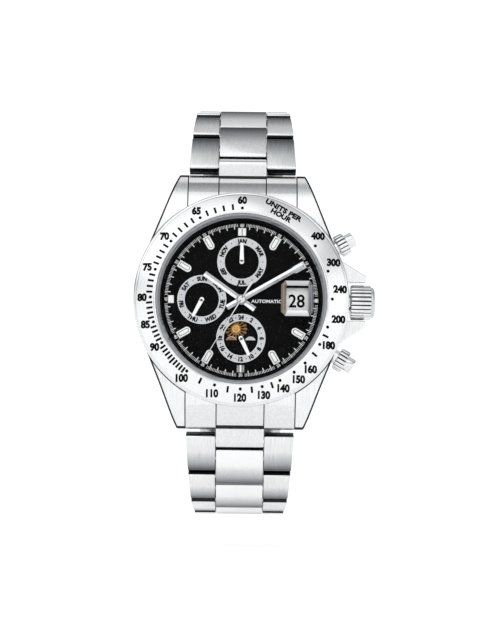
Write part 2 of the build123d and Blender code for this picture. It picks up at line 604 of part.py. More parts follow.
def end_link(side):
    """Solid end link: fills the lug gap, follows the case barrel, and carries the first pivot."""
    pivot_y, pivot_z = FIRST_PIVOT
    end_y = pivot_y - FIRST_STOP
    low = pivot_z - LINK_R
    tip_top = LUG_TIP_TOP - END_LINK_DROP
    outline = [lug_side_arc(1, END_LINK_DROP), Line((LUG_TIP_Y, tip_top), (LUG_TIP_Y, low))]
    outline.append(Line((LUG_TIP_Y, low), (LUG_SHOULDER_Y, low)))
    outline.append(Line((LUG_SHOULDER_Y, low), (LUG_SHOULDER_Y, CASE_TOP - END_LINK_DROP)))
    profile = extrude(Plane.YZ * make_face(outline), 30, both=True)
    half = (LUG_WIDTH - SIDE_GAP) / 2
    plan = strip(-half, half, LUG_SHOULDER_Y, end_y) - Circle(CASE_BARREL_R + RUN_GAP)
    plan += strip(-CENTRE_HALF, CENTRE_HALF, LUG_TIP_Y - 4, LUG_TIP_Y)
    body = slab(plan, 0, CASE_TOP) & profile
    knuckle = polygon((LUG_TIP_Y - 0.5, low), (pivot_y, low), (pivot_y, pivot_z + LINK_R),
                      (LUG_TIP_Y, tip_top), (LUG_TIP_Y - 0.5, tip_top))
    knuckle += Pos(pivot_y, pivot_z) * Circle(LINK_R)
    body += extrude(Plane.YZ * knuckle, CENTRE_HALF, both=True)
    body -= across(HINGE_PIN_R + RUN_GAP, 12, pivot_y, pivot_z)
    body -= across(SPRING_BAR_R + RUN_GAP, 12, *SPRING_BAR)
    return body if side > 0 else mirror(body, about=Plane.XZ)


def build_bracelet():
    points, tilts = pivot_chain()
    bars = []
    for side, hour in ((1, "12"), (-1, "6")):
        save(f"end_link_{hour}", end_link(side))
        for row in range(ROWS):
            place = row_location(side, points[row], tilts[row])
            save(f"link_{hour}_{row + 1}", *[place * solid for solid in link_row(row)])
        bar_y, bar_z = side * SPRING_BAR[0], SPRING_BAR[1]
        bar = across(SPRING_BAR_R, LUG_WIDTH / 2 - 0.3, bar_y, bar_z)
        bars.append(bar + across(SPRING_BAR_TIP_R, LUG_WIDTH / 2 + SPRING_BAR_TIP, bar_y, bar_z))
    save("spring_bars", *bars)


# ================================================================ clasp
def build_clasp():
    """Folding clasp: cover on the 12 o'clock side, two blades folded under it, drawn in (y, z)."""
    start_y, line_z = pivot_chain()[0][-1]
    far_y = start_y - COVER_LENGTH
    layer_1 = line_z + BLADE_LAYERS[0]
    layer_2 = line_z + BLADE_LAYERS[1]
    half_thick = BLADE_THICK / 2
    inside_z = line_z - COVER_FACE_IN
    outside_z = inside_z - COVER_PLATE
    mid_y = (start_y + far_y) / 2

    ends = (start_y - COVER_END, far_y + COVER_END)
    plate = make_face([
        Line((ends[0], inside_z), (ends[0], outside_z)),
        ThreePointArc((ends[0], outside_z), (mid_y, outside_z - COVER_BOW), (ends[1], outside_z)),
        Line((ends[1], outside_z), (ends[1], inside_z)), Line((ends[1], inside_z), (ends[0], inside_z))])
    cover = extrude(Plane.YZ * plate, COVER_HALF, both=True)
    ear = COVER_EAR_R
    wall = polygon((start_y, line_z + ear), (start_y, line_z - ear), (ends[0], outside_z),
                   (ends[1], outside_z), (far_y, layer_1 - ear), (far_y, layer_1 + ear),
                   (far_y + 4, line_z + ear))
    wall += Pos(start_y, line_z) * Circle(ear) + Pos(far_y, layer_1) * Circle(ear)
    walls = extrude(Plane.YZ * wall, COVER_HALF, both=True)
    cover += walls - extrude(Plane.YZ * wall, COVER_HALF - WALL, both=True)
    for y, z in ((start_y, line_z), (far_y, layer_1)):
        cover -= across(HINGE_PIN_R + PRESS_GAP, COVER_HALF - 0.3, y, z)
    pins = [across(HINGE_PIN_R, COVER_HALF - 0.35, y, z) for y, z in ((start_y, line_z), (far_y, layer_1))]
    save("clasp_cover", cover, *pins)

    fold_y = far_y + LONG_BLADE
    fold_z = (layer_1 + layer_2) / 2
    fold_r = (layer_2 - layer_1) / 2 + half_thick
    blade_low, blade_high = layer_1 - half_thick, layer_1 + half_thick
    body = strip(far_y, fold_y - FOLD_CLEAR, blade_low, blade_high)
    body += Pos(far_y, layer_1) * Circle(BLADE_EAR_R)
    long_blade = extrude(Plane.YZ * body, BLADE_HALF, both=True)
    tongue = strip(fold_y - 2, fold_y, blade_low, blade_high)
    tongue += Pos(fold_y, fold_z) * Circle(fold_r)
    long_blade += extrude(Plane.YZ * tongue, FOLD_HALF, both=True)
    long_blade -= across(HINGE_PIN_R + RUN_GAP, 12, far_y, layer_1)
    long_blade -= across(HINGE_PIN_R + RUN_GAP, 12, fold_y, fold_z)
    save("clasp_long_blade", long_blade)

    low, high = layer_2 - half_thick, layer_2 + half_thick
    centre_end = LINK_R + OPEN_PIVOT_GAP - start_y
    ear_end = HINGE_PIN_R + OPEN_PIVOT_GAP - start_y
    body = strip(centre_end, fold_y - FOLD_CLEAR, low, high)
    short_blade = extrude(Plane.YZ * body, BLADE_HALF, both=True)
    ears = strip(ear_end, centre_end + 1, low, high)
    cheeks = strip(fold_y - 2, fold_y, low, high)
    cheeks += Pos(fold_y, fold_z) * Circle(fold_r)
    for outline, inner in ((ears, CENTRE_HALF + 0.25), (cheeks, FOLD_HALF + SIDE_GAP)):
        both = extrude(Plane.YZ * outline, BLADE_HALF, both=True)
        short_blade += both - extrude(Plane.YZ * outline, inner, both=True)
    short_blade -= across(HINGE_PIN_R + PRESS_GAP, 12, fold_y, fold_z)
    save("clasp_short_blade", short_blade, across(HINGE_PIN_R, BLADE_HALF - 0.05, fold_y, fold_z))


os.makedirs("parts", exist_ok=True)
build_case()
build_dial()
build_hands()
build_crown()
build_pushers()
build_train()
build_movement()
build_bracelet()
build_clasp()
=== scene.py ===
"""Steel wristwatch with a calendar dial, tachymeter bezel and three-piece-link bracelet.

Watch frame, used for every surface below, in millimetres: x to 3 o'clock, y to 12 o'clock, z out of the
dial, z = 0 at the case back.  World frame, in metres: the dial faces -Y and 12 o'clock points to +Z.
"""

import json
import logging
from dataclasses import dataclass, field, replace
from enum import Enum
from math import cos, pi, radians, sin, tan
from typing import Callable, Optional, Sequence, Union

import bmesh
import bpy
import numpy as np
from mathutils import Matrix, Vector

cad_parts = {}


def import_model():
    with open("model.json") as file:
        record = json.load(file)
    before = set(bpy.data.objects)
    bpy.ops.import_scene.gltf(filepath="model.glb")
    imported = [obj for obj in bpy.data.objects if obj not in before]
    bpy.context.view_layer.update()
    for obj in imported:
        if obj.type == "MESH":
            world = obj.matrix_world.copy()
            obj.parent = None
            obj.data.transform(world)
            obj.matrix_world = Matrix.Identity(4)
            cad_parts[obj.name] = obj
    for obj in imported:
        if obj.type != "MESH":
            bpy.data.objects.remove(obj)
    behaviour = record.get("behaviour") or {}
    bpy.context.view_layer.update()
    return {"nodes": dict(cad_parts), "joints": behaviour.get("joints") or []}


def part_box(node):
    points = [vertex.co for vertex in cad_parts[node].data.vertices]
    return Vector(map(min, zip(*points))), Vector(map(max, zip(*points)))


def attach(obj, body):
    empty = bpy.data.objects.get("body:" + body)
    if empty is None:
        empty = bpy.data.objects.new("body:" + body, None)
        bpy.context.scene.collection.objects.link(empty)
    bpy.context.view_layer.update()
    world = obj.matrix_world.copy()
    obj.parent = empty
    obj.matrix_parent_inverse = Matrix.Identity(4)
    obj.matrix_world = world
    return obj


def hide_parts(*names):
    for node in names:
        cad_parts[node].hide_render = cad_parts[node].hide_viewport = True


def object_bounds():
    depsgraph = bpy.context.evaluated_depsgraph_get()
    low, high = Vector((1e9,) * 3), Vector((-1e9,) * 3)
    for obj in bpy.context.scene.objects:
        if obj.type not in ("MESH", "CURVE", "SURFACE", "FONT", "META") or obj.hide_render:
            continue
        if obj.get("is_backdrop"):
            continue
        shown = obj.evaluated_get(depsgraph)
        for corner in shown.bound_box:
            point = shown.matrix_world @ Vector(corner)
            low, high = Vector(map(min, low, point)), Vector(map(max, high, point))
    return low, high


LOG = logging.getLogger("watch")
MM = 0.001  # one millimetre, in metres
# The attribute below places the painted sheen along each link plate.
ALONG = "along"  # attribute that runs from 0 to 1 along a link plate
CAPITAL = "H"  # letter whose height stands for every capital and digit
MERGE_M = 1e-7  # points nearer than this become one
SLIVER_M = 1e-8  # edges shorter than this are taken out
AXIS_RADIUS = 0.0001  # radius, in mm, of a profile point that closes a turned piece at its axis

Array = np.ndarray
Faces = list[tuple[int, ...]]
Outline = Sequence[tuple[float, float]]
Inputs = dict[Union[str, int], object]
Stops = Sequence[tuple[float, str]]


# ================================================================ finishes
def linear(code: str) -> tuple[float, float, float, float]:
    """Turn an sRGB hex colour to linear light.

    A channel c becomes ((c + 0.055) / 1.055)^2.4, or c / 12.92 where it is at most 0.04045.

    Args:
        code: colour such as "#c8cacc".

    Returns:
        Linear red, green, blue and an alpha of one.
    """
    channels = np.array([int(code[i:i + 2], 16) / 255 for i in (1, 3, 5)])
    low, high = channels / 12.92, ((channels + 0.055) / 1.055) ** 2.4
    red, green, blue = np.where(channels <= 0.04045, low, high)
    return float(red), float(green), float(blue), 1.0


def add_node(tree: bpy.types.NodeTree, kind: str, settings: Optional[dict] = None,
             inputs: Optional[Inputs] = None, stops: Stops = ()) -> bpy.types.Node:
    """Add one node with its settings and links.

    Args:
        tree: node tree that gets the node.
        kind: Blender's node type.
        settings: attributes set on the node.
        inputs: socket name or number to a value, or to an output socket that is linked to it.
        stops: places from 0 to 1 with hex colours, for a node that has a colour ramp.

    Returns:
        The new node.
    """
    node = tree.nodes.new(kind)
    for name, value in (settings or {}).items():
        setattr(node, name, value)
    for socket, value in (inputs or {}).items():
        if isinstance(value, bpy.types.NodeSocket):
            tree.links.new(value, node.inputs[socket])
        else:
            node.inputs[socket].default_value = value
    if stops:
        elements = node.color_ramp.elements
        while len(elements) < len(stops):
            elements.new(0.5)
        for element, (place, code) in zip(elements, stops):
            element.position = place
            element.color = linear(code)
    return node


class Grain(Enum):
    """Which way a surface was worked; the numbers stretch the pattern in world x, y and z."""

    ALONG_BRACELET = (1.0, 0.03, 0.03)
    ACROSS = (0.03, 1.0, 1.0)
    UP_AND_DOWN = (1.0, 1.0, 0.03)
    EVEN = (1.0, 1.0, 1.0)


@dataclass(frozen=True)
class Finish:
    """One real material and process.

    The shader reads object coordinates.  A fine pattern, stretched along the grain, varies the colour
    between two shades, the roughness about its middle value, and the height of the surface.  Where there
    is a painted sheen, the colour is also multiplied by painted light and shade laid along each link plate.
    """

    name: str
    shade: str
    light: str
    metallic: float = 1.0
    roughness: float = 0.2
    spread: float = 0.06
    grain: Grain = Grain.EVEN
    spacing_mm: float = 0.25
    depth_mm: float = 0.002
    specular: float = 0.5
    rings_about: Optional[tuple[float, float]] = None
    alpha: float = 1.0
    painted_sheen: Stops = ()
    shade_until: float = 0.3
    light_from: float = 0.7
    rough_between: tuple[float, float] = (0.25, 0.75)
    least_roughness: float = 0.02
    relief: float = 0.35

    def pattern(self, tree: bpy.types.NodeTree) -> bpy.types.NodeSocket:
        """Fine value noise along the grain, or in rings about a centre on the dial.

        Args:
            tree: node tree.

        Returns:
            A factor from 0 to 1.
        """
        place = add_node(tree, "ShaderNodeTexCoord").outputs["Object"]
        frequency = 1 / (self.spacing_mm * MM)
        if self.rings_about is not None:
            x, y = self.rings_about
            centred = add_node(tree, "ShaderNodeVectorMath", {"operation": "SUBTRACT"},
                               {0: place, 1: (x * MM, 0.0, y * MM)}).outputs[0]
            flat = add_node(tree, "ShaderNodeVectorMath", {"operation": "MULTIPLY"},
                            {0: centred, 1: (1.0, 0.0, 1.0)}).outputs[0]
            radius = add_node(tree, "ShaderNodeVectorMath", {"operation": "LENGTH"},
                              {0: flat}).outputs["Value"]
            return add_node(tree, "ShaderNodeTexNoise", {"noise_dimensions": "1D"},
                            {"W": radius, "Scale": frequency, "Detail": 2.0}).outputs["Fac"]
        stretched = add_node(tree, "ShaderNodeMapping", inputs={
            "Vector": place, "Scale": tuple(frequency * share for share in self.grain.value)}).outputs[0]
        return add_node(tree, "ShaderNodeTexNoise", inputs={
            "Vector": stretched, "Scale": 1.0, "Detail": 3.0, "Roughness": 0.6}).outputs["Fac"]

    def material(self) -> bpy.types.Material:
        """Build the material once, or give the one already built.

        Returns:
            The material.
        """
        made = bpy.data.materials.get(self.name)
        if made is not None:
            return made
        made = bpy.data.materials.new(self.name)
        made.use_nodes = True
        tree = made.node_tree
        shader = tree.nodes["Principled BSDF"]
        factor = self.pattern(tree)
        colour = add_node(tree, "ShaderNodeValToRGB", inputs={"Fac": factor},
                          stops=((self.shade_until, self.shade),
                                 (self.light_from, self.light))).outputs["Color"]
        # A painted sheen multiplies the colour by painted light and shade along the plate.
        if self.painted_sheen:
            along = add_node(tree, "ShaderNodeAttribute", {"attribute_name": ALONG}).outputs["Fac"]
            sheen = add_node(tree, "ShaderNodeValToRGB", inputs={"Fac": along},
                             stops=self.painted_sheen).outputs["Color"]
            colour = add_node(tree, "ShaderNodeVectorMath", {"operation": "MULTIPLY"},
                              {0: colour, 1: sheen}).outputs[0]
        tree.links.new(colour, shader.inputs["Base Color"])
        rough = add_node(tree, "ShaderNodeMapRange", inputs={
            "Value": factor, "From Min": self.rough_between[0], "From Max": self.rough_between[1],
            "To Min": max(self.roughness - self.spread, self.least_roughness),
            "To Max": self.roughness + self.spread})
        tree.links.new(rough.outputs["Result"], shader.inputs["Roughness"])
        bump = add_node(tree, "ShaderNodeBump", inputs={
            "Height": factor, "Strength": self.relief, "Distance": self.depth_mm * MM})
        tree.links.new(bump.outputs["Normal"], shader.inputs["Normal"])
        shader.inputs["Metallic"].default_value = self.metallic
        shader.inputs["Specular IOR Level"].default_value = self.specular
        shader.inputs["Alpha"].default_value = self.alpha
        return made


# Painted sheen of a crowned plate: painted light, bright near the watch, and painted shade, darker towards
# the far end.
PAINTED_SHEEN = ((0.0, "#ffffff"), (0.42, "#fafafa"), (0.76, "#b8babc"), (0.94, "#6c6e70"))
# Stainless steel, polished with a soft wheel: nearly a mirror, with hair scratches.
POLISHED = Finish("polished_stainless_steel", "#d9dadb", "#e6e7e8", roughness=0.09, spread=0.03,
                  spacing_mm=0.4, depth_mm=0.0006)
# Centre plates: polished steel under the painted sheen.
POLISHED_PLATE = replace(POLISHED, name="polished_link_plate_steel_painted_sheen", shade="#eeeff0", light="#fafafa",
                         roughness=0.16, painted_sheen=PAINTED_SHEEN)
# Steel painted dark as shade, for grooves, gaps and edges that fall dark.
PAINTED_SHADE_STEEL = Finish("painted_shade_dark_steel", "#1d1e20", "#3a3c3f", roughness=0.35, spacing_mm=0.2)
# Stainless steel, brushed along the bracelet: streaks that dull and darken by turns.  Real lines are about
# 0.05 mm apart; they are drawn twice as coarse so that they show.
BRUSHED_LINKS = Finish("lengthwise_brushed_steel", "#d8dadb", "#f0f1f2", roughness=0.24, spread=0.06,
                       grain=Grain.ALONG_BRACELET, spacing_mm=0.1, depth_mm=0.0015)
# Side plates: brushed steel under the painted sheen.
BRUSHED_PLATE = replace(BRUSHED_LINKS, name="brushed_link_plate_steel_painted_sheen", painted_sheen=PAINTED_SHEEN)
BRUSHED_LUGS = replace(BRUSHED_LINKS, name="brushed_lug_steel", shade="#dddfe0", light="#f4f5f5",
                       roughness=0.25)
BRUSHED_ACROSS = Finish("cross_brushed_steel", "#b9bbbd", "#dfe0e1", roughness=0.3, grain=Grain.ACROSS,
                        spacing_mm=0.1, depth_mm=0.002)
BEZEL_STEEL = Finish("ring_brushed_bezel_steel", "#e4e5e6", "#f3f4f4", roughness=0.22, spread=0.04,
                     rings_about=(0.0, 0.0), spacing_mm=0.1, depth_mm=0.001)
RING_SILVER = Finish("ring_turned_silver", "#bfc1c4", "#d3d4d6", metallic=0.3, roughness=0.4,
                     spacing_mm=0.15, depth_mm=0.001)
DIAL_LACQUER = Finish("black_dial_lacquer", "#030303", "#060607", metallic=0.0, roughness=0.5, spread=0.05,
                      spacing_mm=0.5, depth_mm=0.0005, specular=0.06)
NIGHT_LACQUER = replace(DIAL_LACQUER, name="midnight_lacquer", shade="#04050a", light="#090c16")
WHITE_INK = Finish("white_dial_ink", "#e6e8ea", "#fafbfc", metallic=0.0, roughness=0.55, spacing_mm=0.3)
BLACK_INK = Finish("black_dial_ink", "#030303", "#080809", metallic=0.0, roughness=0.6, spacing_mm=0.3,
                   specular=0.06)
DATE_PAPER = Finish("white_date_lacquer", "#f4f4f4", "#ffffff", metallic=0.0, roughness=0.5, spacing_mm=0.4)
SUN_GOLD = Finish("sun_gold_leaf", "#b98033", "#efc474", metallic=0.4, roughness=0.4, spacing_mm=0.25)
HUMP_BRONZE = Finish("hump_gold_brown", "#6d4a20", "#a07a3c", metallic=0.3, roughness=0.5, spacing_mm=0.25)
HUMP_GREY = Finish("hump_grey_white", "#a8a9ab", "#d6d7d8", metallic=0.2, roughness=0.5, spacing_mm=0.25)
LUME = Finish("lume_paste", "#eef0ec", "#ffffff", metallic=0.0, roughness=0.7, spacing_mm=0.15)
BRIGHT_MARKER = Finish("silvered_marker_face", "#eff0f1", "#ffffff", metallic=0.25, roughness=0.3,
                       spacing_mm=0.3)
# Darker marker metal: painted shade in the bullets' grooves, also given to the two outer bars at 6.
MARKER_GROOVE_SHADE = Finish("marker_groove_painted_shade", "#85878a", "#a2a4a6", roughness=0.35, spacing_mm=0.2)
# The flange's inner band, painted black as the shadow at the dial's edge.
FLANGE_PAINTED_SHADOW = replace(DIAL_LACQUER, name="flange_painted_shadow_lacquer", shade="#060607", light="#0b0b0d")
FLANGE_GREY = Finish("fine_turned_flange", "#76787b", "#a2a4a7", roughness=0.35, rings_about=(0.0, 0.0),
                     spacing_mm=0.06, depth_mm=0.002)
GREY_NYLON = Finish("grey_moulded_nylon", "#8b8d90", "#a3a5a8", metallic=0.0, roughness=0.5, spacing_mm=0.3)
BACK_STEEL = replace(BEZEL_STEEL, name="ring_brushed_back_steel", shade="#b0b2b4", light="#c6c8ca")
CLASP_STEEL = replace(BRUSHED_LINKS, name="lengthwise_brushed_clasp_steel", shade="#b4b6b8",
                      light="#cfd1d3")
RUBBER = Finish("black_nitrile_rubber", "#0b0b0b", "#191919", metallic=0.0, roughness=0.7, spacing_mm=0.2)
BRASS = Finish("lapped_brass", "#a98a4a", "#cdb06c", roughness=0.25, spacing_mm=0.15)
NICKEL = Finish("pearled_nickel_plate", "#a9abad", "#d2d3d4", roughness=0.25, spacing_mm=0.8, depth_mm=0.01)
SAPPHIRE = Finish("coated_sapphire", "#000000", "#020202", metallic=0.0, roughness=0.04, spread=0.01,
                  spacing_mm=5.0, depth_mm=AXIS_RADIUS, alpha=0.01, specular=0.2)
LENS_TOP = replace(SAPPHIRE, name="magnifier_top")
# Magnifier bevels: painted highlight above and below, painted reflections in brown at the left and grey at
# the right.
LENS_PAINTED_HIGHLIGHT = Finish("magnifier_bevel_painted_highlight", "#d4d6d9", "#ffffff", metallic=0.0, roughness=0.15,
                     grain=Grain.ACROSS, spacing_mm=1.2, alpha=0.72)
LENS_PAINTED_BROWN_REFLECTION = Finish("magnifier_left_bevel_painted_reflection", "#2a2219", "#a3937c", metallic=0.0, roughness=0.15,
                    grain=Grain.UP_AND_DOWN, spacing_mm=0.5, alpha=0.8)
LENS_PAINTED_GREY_REFLECTION = Finish("magnifier_right_bevel_painted_reflection", "#1c1d1f", "#a9abae", metallic=0.0, roughness=0.15,
                   grain=Grain.UP_AND_DOWN, spacing_mm=0.5, alpha=0.8)
# Hand facets: one side painted darker as shade, the other painted near white as a highlight.
PAINTED_SHADE_FACET = Finish("hand_facet_painted_shade", "#a0a2a6", "#bcbec2", roughness=0.3, spacing_mm=0.3)
PAINTED_HIGHLIGHT_FACET = Finish("hand_facet_painted_highlight", "#f4f5f6", "#ffffff", metallic=0.2, roughness=0.3,
                      spacing_mm=0.3)
WHITE_HAND = Finish("white_hand_lacquer", "#f0f1f2", "#ffffff", metallic=0.0, roughness=0.4, spacing_mm=0.2)


# ================================================================ surfaces
@dataclass
class Surface:
    """Points in the watch frame, in mm, with faces and the finish number of each face."""

    points: Array
    faces: Faces
    finish: Array
    along: Optional[Array] = None

    @staticmethod
    def grid(points: Array, around: bool = True, closed: bool = False,
             finish: Optional[Sequence[int]] = None) -> "Surface":
        """Quads over a grid of points: rows go up the section, columns go round counter-clockwise.

        Args:
            points: array of rows by columns by 3.
            around: the last column joins the first.
            closed: the last row joins the first.
            finish: finish number of each row of quads.

        Returns:
            The surface.
        """
        rows, cols = points.shape[:2]
        index = np.arange(rows * cols).reshape(rows, cols)
        index = np.concatenate([index, index[:, :1]], 1) if around else index
        index = np.concatenate([index, index[:1]], 0) if closed else index
        quads = np.stack([index[:-1, :-1], index[:-1, 1:], index[1:, 1:], index[1:, :-1]], -1)
        numbers = np.zeros(quads.shape[0], int) if finish is None else np.asarray(finish)
        numbers = np.repeat(numbers, quads.shape[1])
        faces = [tuple(quad) for quad in quads.reshape(-1, 4).tolist()]
        return Surface(points.reshape(-1, 3), faces, numbers)

    def joined(self, *others: "Surface") -> "Surface":
        """Put surfaces together as one.

        Args:
            others: surfaces added to this one.

        Returns:
            All of them as one surface.
        """
        points, faces, finish, along, start = [], [], [], [], 0
        for surface in (self, *others):
            points.append(surface.points)
            along.append(np.zeros(len(surface.points)) if surface.along is None else surface.along)
            faces += [tuple(corner + start for corner in face) for face in surface.faces]
            finish.append(surface.finish)
            start += len(surface.points)
        return Surface(np.concatenate(points), faces, np.concatenate(finish), np.concatenate(along))

    def moved(self, change: Callable[[Array], Array]) -> "Surface":
        """Put the points through a function of all of them at once.

        Args:
            change: takes and gives rows of x, y and z.

        Returns:
            The changed surface.
        """
        return Surface(change(self.points), self.faces, self.finish, self.along)

    def turned(self, angle: float, x: float = 0.0, y: float = 0.0) -> "Surface":
        """Turn clockwise about the dial's axis, then shift in the dial's plane.

        Args:
            angle: in degrees.
            x: shift to 3 o'clock.
            y: shift to 12 o'clock.

        Returns:
            The moved surface.
        """
        spin, middle = Matrix.Rotation(-radians(angle), 3, "Z"), np.array([x, y, 0.0])
        return self.moved(lambda points: points @ np.array(spin).T + middle)

    def painted(self, number: int) -> "Surface":
        """Give every face the same finish.

        Args:
            number: the finish's number.

        Returns:
            The surface with that number throughout.
        """
        return Surface(self.points, self.faces, np.full(len(self.faces), number), self.along)

    def piece(self, name: str, finishes: Sequence[Finish], body: str, slot: str,
              replaces: Sequence[str] = (), smooth: float = 35.0) -> bpy.types.Object:
        """Make the surface a Blender object that rides on a CAD body.

        Points that fall together become one, and every closed part is turned to face outward.

        Args:
            name: the piece's name.
            finishes: finishes in the order of the faces' numbers.
            body: CAD body that carries it.
            slot: the record's material slot; not used.
            replaces: CAD nodes that it stands for.
            smooth: edges flatter than this angle, in degrees, are shaded smooth.

        Returns:
            The object.
        """
        x, y, z = self.points.T
        world = np.stack([x, -z, y], 1) * MM
        mesh = bpy.data.meshes.new(name)
        mesh.from_pydata(world.tolist(), [], self.faces)
        mesh.polygons.foreach_set("material_index", self.finish.astype(np.int32))
        for finish in finishes:
            mesh.materials.append(finish.material())
        if self.along is not None:
            tone = mesh.attributes.new(ALONG, "FLOAT", "POINT")
            tone.data.foreach_set("value", self.along.astype(np.float32))
        shell = bmesh.new()
        shell.from_mesh(mesh)
        bmesh.ops.remove_doubles(shell, verts=shell.verts, dist=MERGE_M)
        bmesh.ops.dissolve_degenerate(shell, edges=shell.edges, dist=SLIVER_M)
        bmesh.ops.recalc_face_normals(shell, faces=shell.faces)
        shell.to_mesh(mesh)
        shell.free()
        mesh.shade_smooth()
        mesh.set_sharp_from_angle(angle=radians(smooth))
        obj = bpy.data.objects.new(name, mesh)
        bpy.context.scene.collection.objects.link(obj)
        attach(obj, body)
        if replaces:
            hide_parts(*replaces)
        LOG.info("%s: %d faces on %s", name, len(self.faces), body)
        return obj


def lathe(profile: Outline, count: int = 180, finish: Optional[Sequence[int]] = None,
          x: float = 0.0, y: float = 0.0) -> Surface:
    """Turn a closed profile about an axis along z.

    Point (i, j) is (r_i cos a_j, r_i sin a_j, z_i), with a_j going once round.

    Args:
        profile: (radius, z) points, counter-clockwise with the radius to the right.
        count: columns round the axis.
        finish: finish number of each side of the profile.
        x: the axis's place towards 3 o'clock.
        y: the axis's place towards 12 o'clock.

    Returns:
        The closed surface.
    """
    radius, height = np.array(profile).T
    angle = np.arange(count) * 2 * pi / count
    grid = np.stack([x + np.outer(radius, np.cos(angle)), y + np.outer(radius, np.sin(angle)),
                     np.outer(height, np.ones(count))], -1)
    return Surface.grid(grid, around=True, closed=True, finish=finish)


def inset_outline(outline: Array, distance: float) -> Array:
    """Move each corner of a counter-clockwise outline inwards along its mitre.

    A corner moves by distance (n1 + n2) / (1 + n1 . n2), where n1 and n2 are its sides' inward normals.

    Args:
        outline: corners, rows of x and y.
        distance: how far in each side goes, in mm.

    Returns:
        The new corners.
    """
    side = np.roll(outline, -1, 0) - outline
    side /= np.linalg.norm(side, axis=1, keepdims=True)
    normal = np.stack([-side[:, 1], side[:, 0]], 1)
    before = np.roll(normal, 1, 0)
    share = 1 + np.sum(normal * before, 1, keepdims=True)
    return outline + distance * (normal + before) / share


def plate(outline: Array, steps: Outline, finish: Optional[Sequence[int]] = None) -> Surface:
    """Raise an outline through steps of inset and height, with flat ends.

    Args:
        outline: counter-clockwise corners, rows of x and y.
        steps: (inset, z) from the bottom up.
        finish: finish number of each band between steps, then of the top.

    Returns:
        The closed surface.
    """
    rings = [np.column_stack([inset_outline(outline, inset), np.full(len(outline), z)])
             for inset, z in steps]
    numbers = list(finish) if finish is not None else [0] * len(steps)
    wall = Surface.grid(np.array(rings), finish=numbers[:-1])
    count, last = len(outline), (len(steps) - 1) * len(outline)
    caps = [tuple(range(count - 1, -1, -1)), tuple(range(last, last + count))]
    return Surface(wall.points, wall.faces + caps, np.concatenate([wall.finish, [0, numbers[-1]]]))


def box_outline(width: float, low: float, high: float, x: float = 0.0) -> Array:
    """Draw an upright rectangle.

    Args:
        width: from side to side.
        low: lower end.
        high: upper end.
        x: the middle.

    Returns:
        Corners, counter-clockwise.
    """
    half = width / 2
    return np.array([(x - half, low), (x + half, low), (x + half, high), (x - half, high)], float)


def bullet_outline(width: float, inner: float, outer: float, count: int = 17) -> Array:
    """Draw a bar that points to 12, with a half-round inner end and a flat outer end.

    Args:
        width: of the bar.
        inner: where the round end starts.
        outer: where the flat end is.
        count: corners on the half round.

    Returns:
        Corners, counter-clockwise.
    """
    half = width / 2
    angle = np.linspace(pi, 2 * pi, count)
    nose = np.column_stack([half * np.cos(angle), inner + half + half * np.sin(angle)])
    return np.concatenate([nose, [(half, outer), (-half, outer)]])


def disc_outline(radius: float, x: float = 0.0, y: float = 0.0, count: int = 24) -> Array:
    """Draw a circle.

    Args:
        radius: of the circle.
        x: its centre towards 3 o'clock.
        y: its centre towards 12 o'clock.
        count: corners round it.

    Returns:
        Corners, counter-clockwise.
    """
    angle = np.arange(count) * 2 * pi / count
    return np.column_stack([x + radius * np.cos(angle), y + radius * np.sin(angle)])


def clock(angle: float, radius: float) -> tuple[float, float]:
    """Find a point by its clock direction.

    Args:
        angle: clockwise from 12 o'clock, in degrees.
        radius: from the dial's axis.

    Returns:
        x and y.
    """
    return radius * sin(radians(angle)), radius * cos(radians(angle))


_GLYPHS: dict[tuple[str, float], tuple[Array, Faces]] = {}


def glyphs(text: str, weight: float) -> tuple[Array, Faces]:
    """Make a word a flat mesh with the built-in typeface.

    Args:
        text: letters or numbers.
        weight: how much each stroke swells, in letter heights.

    Returns:
        Points and faces, one unit of size high.
    """
    key = (text, weight)
    if key not in _GLYPHS:
        curve = bpy.data.curves.new("lettering", "FONT")
        curve.body, curve.offset = text, weight
        curve.extrude, curve.resolution_u = 0.02, 4
        holder = bpy.data.objects.new("lettering", curve)
        bpy.context.scene.collection.objects.link(holder)
        bpy.context.view_layer.update()
        graph = bpy.context.evaluated_depsgraph_get()
        mesh = bpy.data.meshes.new_from_object(holder.evaluated_get(graph))
        points = np.empty(len(mesh.vertices) * 3)
        mesh.vertices.foreach_get("co", points)
        corners = np.empty(len(mesh.loops), int)
        mesh.loops.foreach_get("vertex_index", corners)
        starts = np.empty(len(mesh.polygons), int)
        mesh.polygons.foreach_get("loop_start", starts)
        faces = [tuple(part.tolist()) for part in np.split(corners, starts[1:])]
        _GLYPHS[key] = (points.reshape(-1, 3), faces)
        bpy.data.objects.remove(holder)
        bpy.data.meshes.remove(mesh)
        bpy.data.curves.remove(curve)
    return _GLYPHS[key]


def lettering(text: str, height: float, weight: float = 0.0, squeeze: float = 1.0) -> Surface:
    """Make a word in relief, centred on the origin of the dial's plane with its underside at z = 0.

    Args:
        text: letters or numbers.
        height: height of a capital, in mm.
        weight: how much each stroke swells, in letter heights.
        squeeze: width over the typeface's own.

    Returns:
        The word's surface.
    """
    capital = glyphs(CAPITAL, weight)[0][:, 1]
    points, faces = glyphs(text, weight)
    scale = height / np.ptp(capital)
    middle = np.array([(points[:, 0].max() + points[:, 0].min()) / 2,
                       (capital.max() + capital.min()) / 2, points[:, 2].min()])
    return Surface((points - middle) * scale * np.array([squeeze, 1, 1]), faces, np.zeros(len(faces), int))


